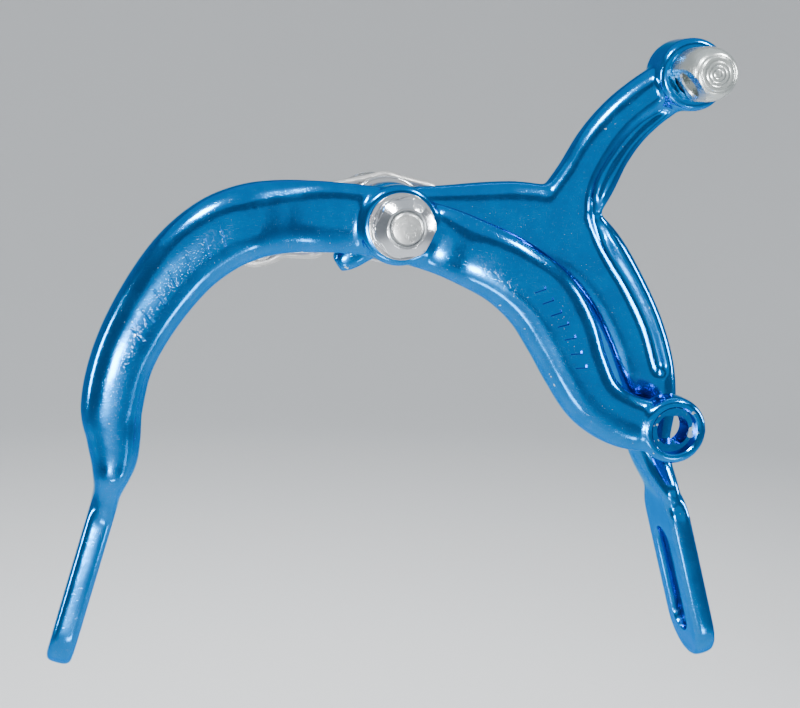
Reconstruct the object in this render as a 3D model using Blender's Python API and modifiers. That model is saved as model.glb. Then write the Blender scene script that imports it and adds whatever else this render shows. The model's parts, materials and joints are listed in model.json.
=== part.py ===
"""Single-pivot side-pull rim brake caliper for a bicycle.

Frame: metres, +Z up, +X to the rider's left as seen from in front of the brake.
The origin is on the pivot axis, in the plane that seats against the fork crown.
The brake stands in front of that plane, towards -Y, and its bolt runs back
through the fork towards +Y. Both arms turn on the pivot axis, which is Y.
"""

import math

import bmesh
import bpy
from mathutils import Matrix, Vector

MM = 0.001

# Overall sizes, with the arms at rest, fully open
FRONT_HALF_SPAN = 56.0 * MM      # pivot to shoe slot centre, sideways, front arm
FRONT_REACH = 66.6 * MM          # and downwards
REAR_HALF_SPAN = 60.3 * MM       # the same on the rear arm
REAR_REACH = 68.8 * MM
SHOE_LEAN = math.radians(15.8)   # shoe plates lean out from vertical
SHOE_TOE = math.radians(3.0)     # and stand a little closer together at the back
CLEARANCE = 0.3 * MM             # gap between neighbouring pieces

# Pivot stack, from the fork forward
BOLT_RADIUS = 3.0 * MM
BOLT_TAIL = 21.0 * MM            # bolt behind the seat plane
SEAT_WASHER_RADIUS = 8.0 * MM
SEAT_WASHER_THICKNESS = 2.0 * MM
BLOCK_RADIUS = 8.2 * MM
BLOCK_THICKNESS = 6.0 * MM
BLOCK_FLAT_REACH = 7.2 * MM      # axis to each spanner flat
SLIP_WASHER_RADIUS = 7.0 * MM
SLIP_WASHER_THICKNESS = 0.8 * MM
ARM_BOSS_RADIUS = 7.3 * MM
REAR_BOSS_THICKNESS = 6.3 * MM
FRONT_BOSS_THICKNESS = 6.3 * MM
FRONT_WASHER_RADIUS = 6.0 * MM
FRONT_WASHER_THICKNESS = 1.0 * MM
NUT_ACROSS_FLATS = 10.0 * MM
ADJUSTING_NUT_THICKNESS = 2.0 * MM
LOCK_NUT_THICKNESS = 2.4 * MM
NUT_CROWN = 0.95                 # turned-down corner radius, of the full corner
NUT_FACE = 0.47 * NUT_ACROSS_FLATS
NUT_RELIEF = 0.4 * MM            # chamfer on a nut's back corners
BOLT_PROUD = 0.3 * MM            # bolt end past the lock nut
THREAD_CHAMFER = 0.5 * MM

# Fork hardware behind the seat plane
FORK_THICKNESS = 10.0 * MM
RADIUS_WASHER_THICKNESS = 2.5 * MM
PLAIN_WASHER_THICKNESS = 1.0 * MM
PLAIN_WASHER_RADIUS = 6.2 * MM
LOCK_WASHER_RADIUS = 5.0 * MM
LOCK_WASHER_THICKNESS = 1.2 * MM
LOCK_WASHER_SPLIT = 0.8 * MM
MOUNTING_NUT_THICKNESS = 4.2 * MM

# Arms
ARM_FRONT_RISE = 3.4 * MM        # front arm's face stands this far before its boss
ARM_DEPTH = 10.2 * MM            # front arm, front to back, round the arch
REAR_ARM_DEPTH = 7.6 * MM
FRONT_PLATE_THICKNESS = 4.8 * MM
REAR_PLATE_THICKNESS = 4.3 * MM
PLATE_DEPTH = 15.0 * MM          # front to back
PLATE_MIDDLE = -14.0 * MM        # both plates are centred on this depth
PLATE_BELOW_SLOT = 16.5 * MM     # slot centre to the round end
PLATE_ABOVE_SLOT = 19.5 * MM     # slot centre to where the neck takes over
PLATE_EDGE = 0.8 * MM
NECK_STEPS = (                   # below the plate's top, thinner, inset, squareness
    (1.9 * MM, 0.1 * MM, 0.4 * MM, 3.2),
    (5.8 * MM, 0.5 * MM, 0.9 * MM, 4.0),
)
SLOT_WIDTH = 6.5 * MM
SLOT_LENGTH = 21.6 * MM

# Cable anchor eye at the end of the front arm
EYE_ACROSS = 52.4 * MM           # from the pivot, sideways
EYE_BELOW = 37.0 * MM
EYE_RADIUS = 6.3 * MM
EYE_THICKNESS = 6.6 * MM
EYE_HOLE_RADIUS = 3.1 * MM
EYE_HOLE_FLATS = 5.3 * MM
EYE_RECESS_RADIUS = 4.4 * MM
EYE_RECESS_DEPTH = 1.5 * MM

# Boss and swivel stud at the end of the rear arm's upper branch
STUD_BOSS_ACROSS = 55.7 * MM
STUD_BOSS_ABOVE = 28.6 * MM
STUD_BOSS_RADIUS = 6.8 * MM
STUD_BOSS_RISE = 2.0 * MM        # boss face, in front of the web
STUD_BOSS_BACK_RISE = 0.3 * MM   # the same behind
STUD_RADIUS = 5.0 * MM
STUD_LENGTH = 11.2 * MM          # in front of the boss
STUD_SHOULDER = 5.6 * MM         # length of the straight part
STUD_END_RADIUS = 3.2 * MM
STUD_STEM_RADIUS = 3.5 * MM
STUD_GROOVE_RADIUS = 2.7 * MM
STUD_FLAT_REACH = 3.6 * MM       # axis to the milled flat
STUD_HOLE_AHEAD = 4.6 * MM       # cross hole's middle, in front of the boss
STUD_HOLE_RADIUS = 2.55 * MM
STUD_TURN = math.radians(216.0)  # direction that the flat faces, from +X
STUD_WASHER_RADIUS = 5.6 * MM
STUD_WASHER_THICKNESS = 0.8 * MM
STUD_CLIP_RADIUS = 5.2 * MM
STUD_CLIP_THICKNESS = 0.8 * MM
STUD_CLIP_MOUTH = 4.4 * MM

# Return spring and its pegs
WIRE_RADIUS = 0.9 * MM
WIRE_SLOPE = math.radians(13.0)
LOOP_ACROSS = 14.2 * MM          # loop centre from the pivot, sideways
LOOP_BELOW = 3.7 * MM
LOOP_RADIUS = 3.1 * MM           # to the middle of the wire
LEG_BELOW = 6.7 * MM             # leg between loop and peg
FRONT_LEG_AHEAD = 3.2 * MM       # front arm's leg, in front of the block's groove
PEG_ACROSS = 24.3 * MM
PEG_BELOW = 4.9 * MM
PEG_RADIUS = 2.3 * MM
PEG_STEM_RADIUS = 1.3 * MM
PEG_SINK = 3.0 * MM              # length of stem in the arm
PEG_PAST_WIRE = 0.6 * MM

SECTION_SIDES = 14
SPAN_STEPS = 3
ROUND_STEPS = 40
BORE_STEPS = 28


# ---------------------------------------------------------------- scene

for old in list(bpy.data.objects):
    bpy.data.objects.remove(old, do_unlink=True)


def new_collection(name):
    collection = bpy.data.collections.new(name)
    bpy.context.scene.collection.children.link(collection)
    return collection


PARTS = new_collection("rim_brake_caliper")
CUTTERS = new_collection("cutters")


# ------------------------------------------------------------- materials

def material(name, colour, roughness, metallic):
    made = bpy.data.materials.new(name)
    made.use_nodes = True
    surface = made.node_tree.nodes["Principled BSDF"]
    surface.inputs["Base Color"].default_value = (*colour, 1.0)
    surface.inputs["Roughness"].default_value = roughness
    surface.inputs["Metallic"].default_value = metallic
    return made


BLUE_ANODISED = material("blue_anodised", (0.003, 0.22, 0.62), 0.25, 0.9)
CHROME = material("chrome", (0.72, 0.75, 0.77), 0.15, 1.0)
BARE_STEEL = material("bare_steel", (0.70, 0.72, 0.70), 0.35, 1.0)
SPRING_STEEL = material("spring_steel", (0.62, 0.62, 0.60), 0.3, 1.0)
BRASS = material("brass", (0.72, 0.53, 0.22), 0.35, 1.0)


# ------------------------------------------------------- making and cutting

def link(name, mesh, surface=None):
    """A new part, or a cutter where no material is given."""
    made = bpy.data.objects.new(name, mesh)
    if surface:
        mesh.materials.append(surface)
        PARTS.objects.link(made)
    else:
        made.hide_render = True
        made.display_type = "WIRE"
        CUTTERS.objects.link(made)
    return made


def mesh_from(name, bm):
    mesh = bpy.data.meshes.new(name)
    bmesh.ops.recalc_face_normals(bm, faces=bm.faces)
    bm.to_mesh(mesh)
    bm.free()
    return mesh


def combine(target, other, operation):
    step = target.modifiers.new(other.name, "BOOLEAN")
    step.operation = operation
    step.solver = "EXACT"
    step.object = other


def cut(target, *cutters):
    for cutter in cutters:
        combine(target, cutter, "DIFFERENCE")


def join(target, *others):
    for other in others:
        combine(target, other, "UNION")


def shade(piece, angle=35.0):
    piece.data.shade_smooth()
    piece.data.set_sharp_from_angle(angle=math.radians(angle))


def turned(name, profile, surface=None, steps=ROUND_STEPS, ring=False):
    """A turned piece. The profile is (radius, distance in front) from front to back."""
    bm = bmesh.new()
    points = [bm.verts.new((radius, 0.0, ahead)) for radius, ahead in profile]
    for first, second in zip(points, points[1:]):
        bm.edges.new((first, second))
    if ring:
        bm.edges.new((points[-1], points[0]))
    mesh = bpy.data.meshes.new(name)
    bm.to_mesh(mesh)
    bm.free()
    made = link(name, mesh, surface)
    made.rotation_euler = (math.pi / 2, 0.0, 0.0)
    spin = made.modifiers.new("turn", "SCREW")
    spin.axis = "Z"
    spin.steps = steps
    spin.render_steps = steps
    spin.use_merge_vertices = True
    spin.merge_threshold = 1e-6
    spin.use_smooth_shade = False
    return made


def washer(name, outer, inner, front, back, surface, edge=0.2 * MM):
    """A flat ring between two depths, with its outer corners broken."""
    profile = [
        (inner, -front),
        (outer - edge, -front),
        (outer, -front - edge),
        (outer, -back + edge),
        (outer - edge, -back),
        (inner, -back),
    ]
    return turned(name, profile, surface, ring=True)


def bore(name, radius, front, back, steps=BORE_STEPS, over=1.0 * MM):
    """A round cutter along the depth, past both faces."""
    profile = [
        (0.0, -front + over),
        (radius, -front + over),
        (radius, -back - over),
        (0.0, -back - over),
    ]
    return turned(name, profile, steps=steps)


def block(name, low, high):
    """A box cutter between two corners."""
    bm = bmesh.new()
    bmesh.ops.create_cube(bm, size=1.0)
    low, high = Vector(low), Vector(high)
    bmesh.ops.scale(bm, vec=high - low, verts=bm.verts)
    bmesh.ops.translate(bm, vec=(high + low) / 2, verts=bm.verts)
    return link(name, mesh_from(name, bm))


def outline_solid(name, outline, thickness, placement, edge=0.0, surface=None):
    """A flat outline given half its thickness to each side, then placed."""
    curve = bpy.data.curves.new(name, "CURVE")
    curve.dimensions = "2D"
    curve.fill_mode = "BOTH"
    curve.extrude = thickness / 2
    spline = curve.splines.new("POLY")
    spline.points.add(len(outline) - 1)
    for point, (across, along) in zip(spline.points, outline):
        point.co = (across, along, 0.0, 1.0)
    spline.use_cyclic_u = True
    flat = bpy.data.objects.new(name, curve)
    CUTTERS.objects.link(flat)
    depsgraph = bpy.context.evaluated_depsgraph_get()
    mesh = bpy.data.meshes.new_from_object(flat.evaluated_get(depsgraph))
    bpy.data.objects.remove(flat, do_unlink=True)
    bm = bmesh.new()
    bm.from_mesh(mesh)
    bmesh.ops.remove_doubles(bm, verts=bm.verts, dist=1e-6)
    bmesh.ops.dissolve_limit(bm, angle_limit=0.01, verts=bm.verts, edges=bm.edges)
    if edge:
        rims = [e for e in bm.edges if e.calc_face_angle(0.0) > math.radians(60)]
        bmesh.ops.bevel(bm, geom=rims, offset=edge, segments=2, profile=0.5,
                        affect="EDGES", material=-1)
    made = link(name, mesh_from(name, bm), surface)
    made.matrix_world = placement
    return made


# -------------------------------------------------------------- arm bars

def smooth_rows(rows, steps=SPAN_STEPS):
    """Rows of numbers joined by a smooth curve through every row."""
    padded = [rows[0], *rows, rows[-1]]
    made = []
    for index in range(1, len(rows)):
        before, start, end, after = padded[index - 1:index + 3]
        for step in range(steps):
            t = step / steps
            made.append([
                0.5 * (2 * b + (c - a) * t + (2 * a - 5 * b + 4 * c - d) * t * t
                       + (3 * b - a - 3 * c + d) * t ** 3)
                for a, b, c, d in zip(before, start, end, after)
            ])
    made.append(list(rows[-1]))
    return made


def forged_bar(name, rows, surface=None):
    """A forged bar in front view. A row is across, up, half width, front, back
    and squareness; the section is a rounded box standing across the bar."""
    rows = smooth_rows(rows)
    bm = bmesh.new()
    rings = []
    for index, (across, up, half_width, front, back, squareness) in enumerate(rows):
        behind = rows[max(index - 1, 0)]
        ahead = rows[min(index + 1, len(rows) - 1)]
        along = Vector((ahead[0] - behind[0], 0.0, ahead[1] - behind[1])).normalized()
        side = Vector((along.z, 0.0, -along.x))
        middle = Vector((across, (front + back) / 2, up))
        ring = []
        for corner in range(SECTION_SIDES):
            turn = 2 * math.pi * (corner + 0.5) / SECTION_SIDES
            wide = math.copysign(abs(math.cos(turn)) ** (2 / squareness), math.cos(turn))
            deep = math.copysign(abs(math.sin(turn)) ** (2 / squareness), math.sin(turn))
            offset = side * (wide * half_width) + Vector((0, deep * (back - front) / 2, 0))
            ring.append(bm.verts.new(middle + offset))
        rings.append(ring)
    for first, second in zip(rings, rings[1:]):
        for corner in range(SECTION_SIDES):
            following = (corner + 1) % SECTION_SIDES
            bm.faces.new((first[corner], first[following],
                          second[following], second[corner]))
    bm.faces.new(rings[0])
    bm.faces.new(rings[-1])
    return link(name, mesh_from(name, bm), surface)


def plate_placement(side, half_span, reach):
    """Plate axes: depth, up the plate, and its normal, at the slot centre."""
    up = Vector((-side * math.sin(SHOE_LEAN), 0.0, math.cos(SHOE_LEAN)))
    depth = Vector((0.0, 1.0, 0.0))
    placement = Matrix((depth, up, depth.cross(up))).transposed().to_4x4()
    placement.translation = (side * half_span, PLATE_MIDDLE, -reach)
    return placement @ Matrix.Rotation(side * SHOE_TOE, 4, "Y")


def round_end(radius, centre, start, stop, steps):
    """Points of an arc in an outline, from one angle to another."""
    return [
        (radius * math.cos(start + (stop - start) * step / steps),
         centre + radius * math.sin(start + (stop - start) * step / steps))
        for step in range(steps + 1)
    ]


def shoe_plate(name, side, half_span, reach, thickness):
    """A flat plate with a full round lower end and sloping shoulders."""
    half = PLATE_DEPTH / 2
    outline = round_end(half, half - PLATE_BELOW_SLOT, math.pi, 2 * math.pi, 14)
    shoulder = [(half - inset * MM, PLATE_ABOVE_SLOT - drop * MM)
                for inset, drop in ((0.0, 6.0), (0.7, 3.2), (2.2, 1.2), (4.2, 0.0))]
    outline += shoulder + [(-across, along) for across, along in reversed(shoulder)]
    placement = plate_placement(side, half_span, reach)
    return outline_solid(name, outline, thickness, placement, PLATE_EDGE)


def shoe_slot(name, side, half_span, reach):
    half = SLOT_WIDTH / 2
    centre = SLOT_LENGTH / 2 - half
    outline = round_end(half, centre, 0.0, math.pi, 10)
    outline += round_end(half, -centre, math.pi, 2 * math.pi, 10)
    placement = plate_placement(side, half_span, reach)
    return outline_solid(name, outline, 3 * SLOT_WIDTH, placement)


def neck_rows(side, half_span, reach, thickness):
    """The last rows of an arm, thinned to run into the top of its shoe plate."""
    lean = Vector((-side * math.sin(SHOE_LEAN), math.cos(SHOE_LEAN)))
    slot = Vector((side * half_span, -reach))
    front = PLATE_MIDDLE - PLATE_DEPTH / 2
    back = PLATE_MIDDLE + PLATE_DEPTH / 2
    rows = []
    for below_top, thinner, inset, squareness in NECK_STEPS:
        place = slot + lean * (PLATE_ABOVE_SLOT - below_top)
        rows.append((*place, thickness / 2 - thinner, front + inset, back - inset, squareness))
    return rows


# --------------------------------------------------------- the pivot stack
# Depths along Y, worked out from the fork forward.

SEAT_BACK = 0.0
SEAT_FRONT = SEAT_BACK - SEAT_WASHER_THICKNESS
BLOCK_BACK = SEAT_FRONT - CLEARANCE
BLOCK_FRONT = BLOCK_BACK - BLOCK_THICKNESS
REAR_SLIP_BACK = BLOCK_FRONT - CLEARANCE
REAR_SLIP_FRONT = REAR_SLIP_BACK - SLIP_WASHER_THICKNESS
REAR_BOSS_BACK = REAR_SLIP_FRONT - CLEARANCE
REAR_BOSS_FRONT = REAR_BOSS_BACK - REAR_BOSS_THICKNESS
MIDDLE_SLIP_BACK = REAR_BOSS_FRONT - CLEARANCE
MIDDLE_SLIP_FRONT = MIDDLE_SLIP_BACK - SLIP_WASHER_THICKNESS
FRONT_BOSS_BACK = MIDDLE_SLIP_FRONT - CLEARANCE
FRONT_BOSS_FRONT = FRONT_BOSS_BACK - FRONT_BOSS_THICKNESS
FRONT_WASHER_BACK = FRONT_BOSS_FRONT - CLEARANCE
FRONT_WASHER_FRONT = FRONT_WASHER_BACK - FRONT_WASHER_THICKNESS
ADJUSTING_NUT_BACK = FRONT_WASHER_FRONT - CLEARANCE
ADJUSTING_NUT_FRONT = ADJUSTING_NUT_BACK - ADJUSTING_NUT_THICKNESS
LOCK_NUT_BACK = ADJUSTING_NUT_FRONT - CLEARANCE
LOCK_NUT_FRONT = LOCK_NUT_BACK - LOCK_NUT_THICKNESS
BOLT_FRONT = LOCK_NUT_FRONT - BOLT_PROUD
BORE_RADIUS = BOLT_RADIUS + CLEARANCE

turned("pivot_bolt", [
    (0.0, -BOLT_FRONT),
    (BOLT_RADIUS - THREAD_CHAMFER, -BOLT_FRONT),
    (BOLT_RADIUS, -BOLT_FRONT - THREAD_CHAMFER),
    (BOLT_RADIUS, -BOLT_TAIL + THREAD_CHAMFER),
    (BOLT_RADIUS - THREAD_CHAMFER, -BOLT_TAIL),
    (0.0, -BOLT_TAIL),
], BARE_STEEL)

washer("seat_washer", SEAT_WASHER_RADIUS, BORE_RADIUS, SEAT_FRONT, SEAT_BACK, BARE_STEEL)

# The block that carries the spring: a groove for the wire over its top and a
# flat for a thin spanner on each side.
WIRE_DEPTH = (BLOCK_FRONT + BLOCK_BACK) / 2
WIRE_TOP = BLOCK_RADIUS - 0.1 * MM
GROOVE_HALF = WIRE_RADIUS + CLEARANCE

spring_block = washer("spring_block", BLOCK_RADIUS, BORE_RADIUS, BLOCK_FRONT, BLOCK_BACK,
                      BARE_STEEL, edge=0.5 * MM)
grooves = []
for name, side in (("left", -1), ("right", 1)):
    groove = block(f"groove_cutter_{name}", (-2 * BLOCK_RADIUS, -GROOVE_HALF, -GROOVE_HALF),
                   (2 * BLOCK_RADIUS, GROOVE_HALF, BLOCK_RADIUS))
    groove.location = (0.0, WIRE_DEPTH, WIRE_TOP)
    groove.rotation_euler.y = side * WIRE_SLOPE
    grooves.append(groove)
flats = [
    block(f"flat_cutter_{name}",
          (side * 1.5 * BLOCK_RADIUS - BLOCK_RADIUS / 2, BLOCK_FRONT - MM, -BLOCK_RADIUS),
          (side * 1.5 * BLOCK_RADIUS + BLOCK_RADIUS / 2, BLOCK_BACK + MM, BLOCK_RADIUS))
    for name, side in (("left", -1), ("right", 1))
]
for cutter, side in zip(flats, (-1, 1)):
    cutter.location.x = side * (BLOCK_FLAT_REACH - BLOCK_RADIUS)
cut(spring_block, *grooves, *flats)

washer("rear_washer", SLIP_WASHER_RADIUS, BORE_RADIUS, REAR_SLIP_FRONT, REAR_SLIP_BACK, BRASS)
washer("middle_washer", SLIP_WASHER_RADIUS, BORE_RADIUS, MIDDLE_SLIP_FRONT,
       MIDDLE_SLIP_BACK, BRASS)
washer("front_washer", FRONT_WASHER_RADIUS, BORE_RADIUS, FRONT_WASHER_FRONT,
       FRONT_WASHER_BACK, CHROME)


def hex_nut(name, front, back, surface, front_face, cone=NUT_RELIEF, turn=0.0):
    """A hexagonal nut with its corners turned down, and a cone before its face."""
    corner = NUT_ACROSS_FLATS / math.sqrt(3)
    rim = NUT_CROWN * corner
    bm = bmesh.new()
    bmesh.ops.create_cone(bm, cap_ends=True, segments=6, radius1=corner, radius2=corner,
                          depth=back - front)
    nut = link(name, mesh_from(name, bm), surface)
    nut.rotation_euler = (math.pi / 2, turn, 0.0)
    nut.location.y = (front + back) / 2
    crown = turned(f"{name}_crown", [
        (0.0, -front),
        (front_face, -front),
        (rim, -front - cone),
        (rim, -back + NUT_RELIEF),
        (rim - NUT_RELIEF, -back),
        (0.0, -back),
    ])
    combine(nut, crown, "INTERSECT")
    cut(nut, bore(f"{name}_bore", BORE_RADIUS, front, back))
    return nut


hex_nut("adjusting_nut", ADJUSTING_NUT_FRONT, ADJUSTING_NUT_BACK, CHROME,
        NUT_FACE, turn=math.radians(12))
hex_nut("lock_nut", LOCK_NUT_FRONT, LOCK_NUT_BACK, CHROME,
        BORE_RADIUS + 0.3 * MM, cone=0.6 * LOCK_NUT_THICKNESS, turn=math.radians(25))

# Behind the fork: a washer with a hollow face, a plain one, a split one, the nut.
RADIUS_WASHER_FRONT = FORK_THICKNESS
RADIUS_WASHER_BACK = RADIUS_WASHER_FRONT + RADIUS_WASHER_THICKNESS
PLAIN_WASHER_FRONT = RADIUS_WASHER_BACK + CLEARANCE
PLAIN_WASHER_BACK = PLAIN_WASHER_FRONT + PLAIN_WASHER_THICKNESS
LOCK_WASHER_FRONT = PLAIN_WASHER_BACK + CLEARANCE
LOCK_WASHER_BACK = LOCK_WASHER_FRONT + LOCK_WASHER_THICKNESS
MOUNTING_NUT_FRONT = LOCK_WASHER_BACK + CLEARANCE
MOUNTING_NUT_BACK = MOUNTING_NUT_FRONT + MOUNTING_NUT_THICKNESS

washer("radius_washer", SEAT_WASHER_RADIUS, BORE_RADIUS, RADIUS_WASHER_FRONT,
       RADIUS_WASHER_BACK, BARE_STEEL)
washer("plain_washer", PLAIN_WASHER_RADIUS, BORE_RADIUS, PLAIN_WASHER_FRONT,
       PLAIN_WASHER_BACK, BARE_STEEL)
lock_washer = washer("lock_washer", LOCK_WASHER_RADIUS, BORE_RADIUS, LOCK_WASHER_FRONT,
                     LOCK_WASHER_BACK, BARE_STEEL)
cut(lock_washer, block("split_cutter",
                       (-LOCK_WASHER_SPLIT / 2, LOCK_WASHER_FRONT - MM, 0.0),
                       (LOCK_WASHER_SPLIT / 2, LOCK_WASHER_BACK + MM, 2 * LOCK_WASHER_RADIUS)))
hex_nut("mounting_nut", MOUNTING_NUT_FRONT, MOUNTING_NUT_BACK, BARE_STEEL, NUT_FACE)


# -------------------------------------------------------------- front arm
# An arch over the tyre to the left shoe, and a tail to the cable anchor eye.

FACE = FRONT_BOSS_FRONT - ARM_FRONT_RISE
ARCH_BACK = FACE + ARM_DEPTH
TAIL_BACK = FRONT_BOSS_BACK - 0.2 * MM
S, R = FRONT_HALF_SPAN, FRONT_REACH

front_arch_rows = [
    (0.030 * S, 0.000 * R, 6.3 * MM, FRONT_BOSS_FRONT + 1.0 * MM, TAIL_BACK - 0.2 * MM, 2.6),
    (-0.154 * S, 0.013 * R, 6.4 * MM, FRONT_BOSS_FRONT + 1.1 * MM, TAIL_BACK, 2.4),
    (-0.268 * S, 0.018 * R, 6.5 * MM, FRONT_BOSS_FRONT + 0.6 * MM, TAIL_BACK, 2.3),
    (-0.381 * S, 0.016 * R, 6.6 * MM, FACE + 2.2 * MM, ARCH_BACK, 2.4),
    (-0.485 * S, 0.002 * R, 6.8 * MM, FACE + 0.4 * MM, ARCH_BACK, 2.6),
    (-0.587 * S, -0.038 * R, 6.8 * MM, FACE, ARCH_BACK, 2.7),
    (-0.692 * S, -0.114 * R, 6.5 * MM, FACE, ARCH_BACK, 2.7),
    (-0.799 * S, -0.237 * R, 6.0 * MM, FACE, ARCH_BACK, 2.7),
    (-0.874 * S, -0.367 * R, 5.6 * MM, FACE, ARCH_BACK, 2.7),
    (-0.905 * S, -0.493 * R, 5.5 * MM, FACE + 0.5 * MM, ARCH_BACK + 1.0 * MM, 2.7),
    (-0.900 * S, -0.574 * R, 4.9 * MM, FACE + 1.0 * MM, ARCH_BACK + 2.4 * MM, 2.7),
    (-0.898 * S, -0.638 * R, 4.3 * MM, FACE + 1.4 * MM, ARCH_BACK + 4.4 * MM, 2.7),
    (-0.907 * S, -0.691 * R, 3.4 * MM, FACE + 1.8 * MM, ARCH_BACK + 6.6 * MM, 2.8),
]
front_arch_rows += neck_rows(-1, FRONT_HALF_SPAN, FRONT_REACH, FRONT_PLATE_THICKNESS)

EYE_FRONT = FACE - 0.3 * MM
EYE_BACK = EYE_FRONT + EYE_THICKNESS
E, B = EYE_ACROSS, EYE_BELOW

front_tail_rows = [
    (-0.04 * E, 0.00 * B, 6.1 * MM, FRONT_BOSS_FRONT + 0.8 * MM, TAIL_BACK - 0.1 * MM, 2.6),
    (0.14 * E, -0.066 * B, 6.2 * MM, FRONT_BOSS_FRONT + 0.2 * MM, TAIL_BACK, 2.6),
    (0.266 * E, -0.133 * B, 6.3 * MM, FACE + 1.4 * MM, TAIL_BACK, 2.8),
    (0.395 * E, -0.222 * B, 6.6 * MM, FACE + 0.3 * MM, TAIL_BACK, 2.8),
    (0.512 * E, -0.357 * B, 7.0 * MM, FACE, TAIL_BACK, 2.8),
    (0.588 * E, -0.52 * B, 6.9 * MM, FACE, TAIL_BACK, 2.8),
    (0.645 * E, -0.69 * B, 6.2 * MM, FACE, TAIL_BACK, 2.7),
    (0.720 * E, -0.860 * B, 5.6 * MM, FACE, TAIL_BACK - 0.8 * MM, 2.6),
    (0.840 * E, -0.965 * B, 5.2 * MM, FACE + 0.2 * MM, EYE_BACK + 0.6 * MM, 2.6),
    (1.00 * E, -1.00 * B, 4.7 * MM, EYE_FRONT + 0.9 * MM, EYE_BACK - 0.3 * MM, 2.6),
]


def boss(name, radius, front, back, surface=None, edge=0.6 * MM):
    """A solid round boss with a broken front and back edge."""
    return turned(name, [
        (0.0, -front),
        (radius - edge, -front),
        (radius, -front - edge),
        (radius, -back + edge),
        (radius - edge, -back),
        (0.0, -back),
    ], surface)


front_arm = forged_bar("front_arm", front_arch_rows, BLUE_ANODISED)
front_tail = forged_bar("front_tail", front_tail_rows)
front_boss = boss("front_boss", ARM_BOSS_RADIUS, FRONT_BOSS_FRONT, FRONT_BOSS_BACK)
eye_boss = boss("eye_boss", EYE_RADIUS, EYE_FRONT, EYE_BACK)
eye_recess = bore("eye_recess", EYE_RECESS_RADIUS, EYE_FRONT,
                  EYE_FRONT + EYE_RECESS_DEPTH - 1.0 * MM)
eye_hole = bore("eye_hole", EYE_HOLE_RADIUS, EYE_FRONT, EYE_BACK)
for part in (eye_boss, eye_recess, eye_hole):
    part.location = (EYE_ACROSS, 0.0, -EYE_BELOW)
hole_flats = block(
    "eye_hole_flats",
    (EYE_ACROSS - 2 * EYE_HOLE_RADIUS, EYE_FRONT - 2 * MM, -EYE_BELOW - EYE_HOLE_FLATS / 2),
    (EYE_ACROSS + 2 * EYE_HOLE_RADIUS, EYE_BACK + 2 * MM, -EYE_BELOW + EYE_HOLE_FLATS / 2))
combine(eye_hole, hole_flats, "INTERSECT")

front_peg_bore = bore("front_peg_bore", PEG_STEM_RADIUS + CLEARANCE,
                      ARCH_BACK - PEG_SINK, ARCH_BACK + 2 * MM, over=0.0)
front_peg_bore.location = (-PEG_ACROSS, 0.0, -PEG_BELOW)

join(front_arm, front_tail, front_boss, eye_boss,
     shoe_plate("front_plate", -1, FRONT_HALF_SPAN, FRONT_REACH, FRONT_PLATE_THICKNESS))
cut(front_arm, bore("front_bore", BORE_RADIUS, FRONT_BOSS_FRONT, FRONT_BOSS_BACK),
    eye_recess, eye_hole, front_peg_bore,
    shoe_slot("front_slot", -1, FRONT_HALF_SPAN, FRONT_REACH))


# --------------------------------------------------------------- rear arm
# A web from the pivot that forks: down to the right shoe, up to the stud boss.

WEB_FRONT = REAR_BOSS_FRONT
WEB_BACK = WEB_FRONT + REAR_ARM_DEPTH
STUD_BOSS_FRONT = WEB_FRONT - STUD_BOSS_RISE
STUD_BOSS_BACK = WEB_BACK + STUD_BOSS_BACK_RISE
S, R = REAR_HALF_SPAN, REAR_REACH

rear_leg_rows = [
    (0.000 * S, 0.000 * R, 6.4 * MM, WEB_FRONT + 0.4 * MM, REAR_BOSS_BACK, 3.0),
    (0.136 * S, 0.004 * R, 6.5 * MM, WEB_FRONT + 0.2 * MM, REAR_BOSS_BACK, 3.0),
    (0.272 * S, 0.000 * R, 7.6 * MM, WEB_FRONT, WEB_BACK, 3.0),
    (0.407 * S, -0.008 * R, 8.4 * MM, WEB_FRONT, WEB_BACK, 3.0),
    (0.524 * S, -0.032 * R, 8.6 * MM, WEB_FRONT, WEB_BACK, 3.0),
    (0.631 * S, -0.089 * R, 7.6 * MM, WEB_FRONT, WEB_BACK, 3.0),
    (0.723 * S, -0.188 * R, 6.7 * MM, WEB_FRONT, WEB_BACK, 3.0),
    (0.791 * S, -0.297 * R, 6.5 * MM, WEB_FRONT, WEB_BACK, 3.0),
    (0.836 * S, -0.406 * R, 6.3 * MM, WEB_FRONT, WEB_BACK, 3.0),
    (0.860 * S, -0.506 * R, 5.6 * MM, WEB_FRONT - 0.2 * MM, WEB_BACK + 0.3 * MM, 2.8),
    (0.863 * S, -0.595 * R, 4.3 * MM, WEB_FRONT - 0.8 * MM, WEB_BACK + 0.8 * MM, 2.8),
    (0.883 * S, -0.661 * R, 3.3 * MM, WEB_FRONT - 2.0 * MM, WEB_BACK + 1.4 * MM, 2.9),
]
rear_leg_rows += neck_rows(1, REAR_HALF_SPAN, REAR_REACH, REAR_PLATE_THICKNESS)

X, Z = STUD_BOSS_ACROSS, STUD_BOSS_ABOVE

stud_branch_rows = [
    (0.58 * X, 0.03 * Z, 6.0 * MM, WEB_FRONT, WEB_BACK, 3.0),
    (0.662 * X, 0.28 * Z, 5.8 * MM, WEB_FRONT, WEB_BACK, 2.8),
    (0.722 * X, 0.50 * Z, 5.5 * MM, WEB_FRONT, WEB_BACK, 2.7),
    (0.79 * X, 0.68 * Z, 5.2 * MM, WEB_FRONT - 0.2 * MM, WEB_BACK, 2.7),
    (0.875 * X, 0.83 * Z, 5.0 * MM, WEB_FRONT - 0.5 * MM, WEB_BACK - 0.3 * MM, 2.7),
    (1.00 * X, 1.00 * Z, 4.8 * MM, STUD_BOSS_FRONT + 0.8 * MM, STUD_BOSS_BACK - 0.5 * MM, 2.7),
]

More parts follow.
